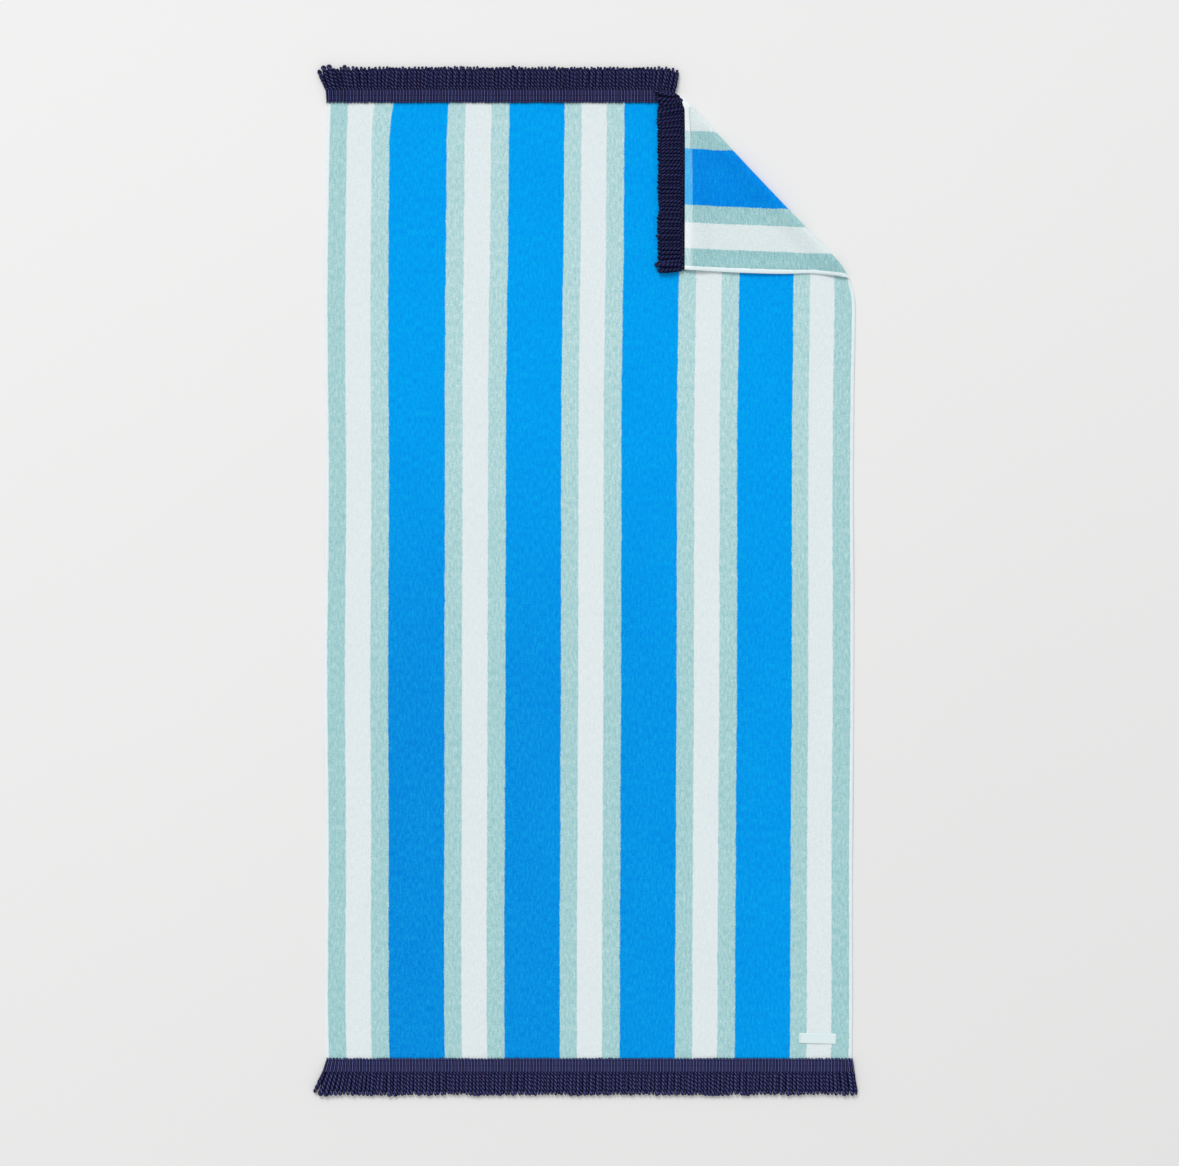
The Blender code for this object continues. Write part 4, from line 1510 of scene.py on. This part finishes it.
@dataclass
class Studio:
    """A pale floor with painted light that falls off towards its lower right, under soft light from above
    and beyond the top end, seen from straight above.
    """

    floor_half: float = 9.0
    floor_colour: Colour = (0.838, 0.836, 0.835)  # painted light: its colour where the painted fall-off leaves it lightest, in the upper left
    lens: float = 85.0
    sensor: float = 36.0
    seen_width: float = 2.0043  # of the floor, across the picture
    middle: tuple[float, float] = (-0.0002, -0.00425)
    sky: float = 0.66
    key_place: tuple[float, float, float] = (-12.0, 33.0, 31.5)
    key_size: float = 21.0
    key_power: float = 13300.0
    floor_down: float = 0.25 * MM  # below the towel's underside
    floor_thick: float = 0.02

    def floor(self) -> bpy.types.Object:
        """The floor, a thin slab just under the towel."""
        half = self.floor_half
        x, y = np.meshgrid(np.linspace(-half, half, 3), np.linspace(-half, half, 3))
        flat = np.stack([x, y], -1)
        top = np.concatenate([flat, np.full((3, 3, 1), -self.floor_down)], -1)
        sheet = slab(top, top - UP * self.floor_thick, flat)
        mesh = bpy.data.meshes.new("floor")
        mesh.from_pydata(sheet.points.tolist(), [], sheet.quads.tolist())
        material = bpy.data.materials.new("pale_floor_painted_falloff")
        material.use_nodes = True
        tree = material.node_tree
        shader = tree.nodes["Principled BSDF"]
        shader.inputs["Roughness"].default_value = 0.9
        shader.inputs["Specular IOR Level"].default_value = 0.0
        place = add(tree, "ShaderNodeTexCoord", {}).outputs["Object"]
        split = add(tree, "ShaderNodeSeparateXYZ", {0: place}).outputs
        mottle = use_group(tree, MOTTLE, {"Place": place, "Size": (0.5, 0.5, 0.5), "Grain": 3})
        power = reckon(tree, "MULTIPLY_ADD", mottle.outputs["Tone"], 0.012, 0.965)
        # painted light: the floor is drawn darker to the right and towards the bottom, as the lamp's
        # fall-off
        power = reckon(tree, "MULTIPLY_ADD", ramped(tree, split["X"], -1.8, 1.8), 0.36, power)
        power = reckon(tree, "MULTIPLY_ADD", ramped(tree, split["Y"], 1.3, -1.7), 0.37, power)
        colour = add(tree, "ShaderNodeGamma", {"Color": (*self.floor_colour, 1), "Gamma": power}).outputs[0]
        tree.links.new(colour, shader.inputs["Base Color"])
        mesh.materials.append(material)
        made = bpy.data.objects.new("floor", mesh)
        bpy.context.scene.collection.objects.link(made)
        return made

    def light(self) -> None:
        """An even sky and one large lamp that looks at the towel's middle."""
        world = bpy.data.worlds.new("studio")
        world.use_nodes = True
        background = world.node_tree.nodes["Background"]
        background.inputs["Color"].default_value = (1, 1, 1, 1)
        background.inputs["Strength"].default_value = self.sky
        bpy.context.scene.world = world
        bpy.context.scene.view_settings.view_transform = "Standard"
        lamp = bpy.data.lights.new("key", "AREA")
        lamp.shape = "DISK"
        lamp.size = self.key_size
        lamp.energy = self.key_power
        made = bpy.data.objects.new("key", lamp)
        made.location = self.key_place
        x, y, z = self.key_place
        made.rotation_euler = (math.atan2(math.hypot(x, y), z), 0, math.atan2(x, -y))
        bpy.context.scene.collection.objects.link(made)

    def camera(self) -> None:
        """The camera, straight above the middle of the picture."""
        data = bpy.data.cameras.new("camera")
        data.type = "PERSP"
        data.lens = self.lens
        data.sensor_width = self.sensor
        data.clip_end = 60
        made = bpy.data.objects.new("camera", data)
        made.location = (*self.middle, self.seen_width * self.lens / self.sensor + 3 * MM)
        bpy.context.scene.collection.objects.link(made)
        bpy.context.scene.camera = made


def report(piece: bpy.types.Object) -> None:
    """Logs a finished piece with its number of faces."""
    LOG.info("%s: %d faces", piece.name, len(piece.data.polygons))


def main() -> None:
    """Builds the studio and the towel, piece by piece."""
    logging.basicConfig(level=logging.INFO, format="%(name)s %(message)s")
    studio = Studio()
    studio.camera()
    studio.light()
    report(studio.floor())

    terry = StripedTerry(
        roughness=0.95, specular=0.02, sheen=0.04, sheen_tint=(0.75, 0.88, 1.0), relief=0.9 * MM
    )
    navy = SpunYarn(
        roughness=0.8, specular=0.06, sheen=0.0, sheen_tint=(1, 1, 1), relief=0.25 * MM,
        name="navy_yarn", colour=(0.098, 0.107, 0.280), warmer=(0.120, 0.094, 0.248),
        deep=(0.005, 0.006, 0.034),
    ).material()
    thread = SpunYarn(
        roughness=0.7, specular=0.15, sheen=0.0, sheen_tint=(1, 1, 1), relief=0.05 * MM,
        name="white_thread", colour=(0.80, 0.89, 0.90), warmer=(0.80, 0.88, 0.88), deep=(0.45, 0.55, 0.57),
    ).material()
    tape = WovenTape(roughness=0.6, specular=0.25, sheen=0.0, sheen_tint=(1, 1, 1), relief=0.15 * MM)

    cloth = TowelCloth()
    panel = cloth.build(terry)
    report(panel)
    fringe = BullionFringe(cloth)
    trim = [piece for run in Run for piece in fringe.make(run, navy)]
    sewn_label = SewnLabel(cloth)
    label = sewn_label.build(tape)
    stitches = Stitching(cloth, sewn_label).build(thread)
    for piece in (*trim, label, stitches):
        report(piece)


if __name__ == "__main__":
    main()
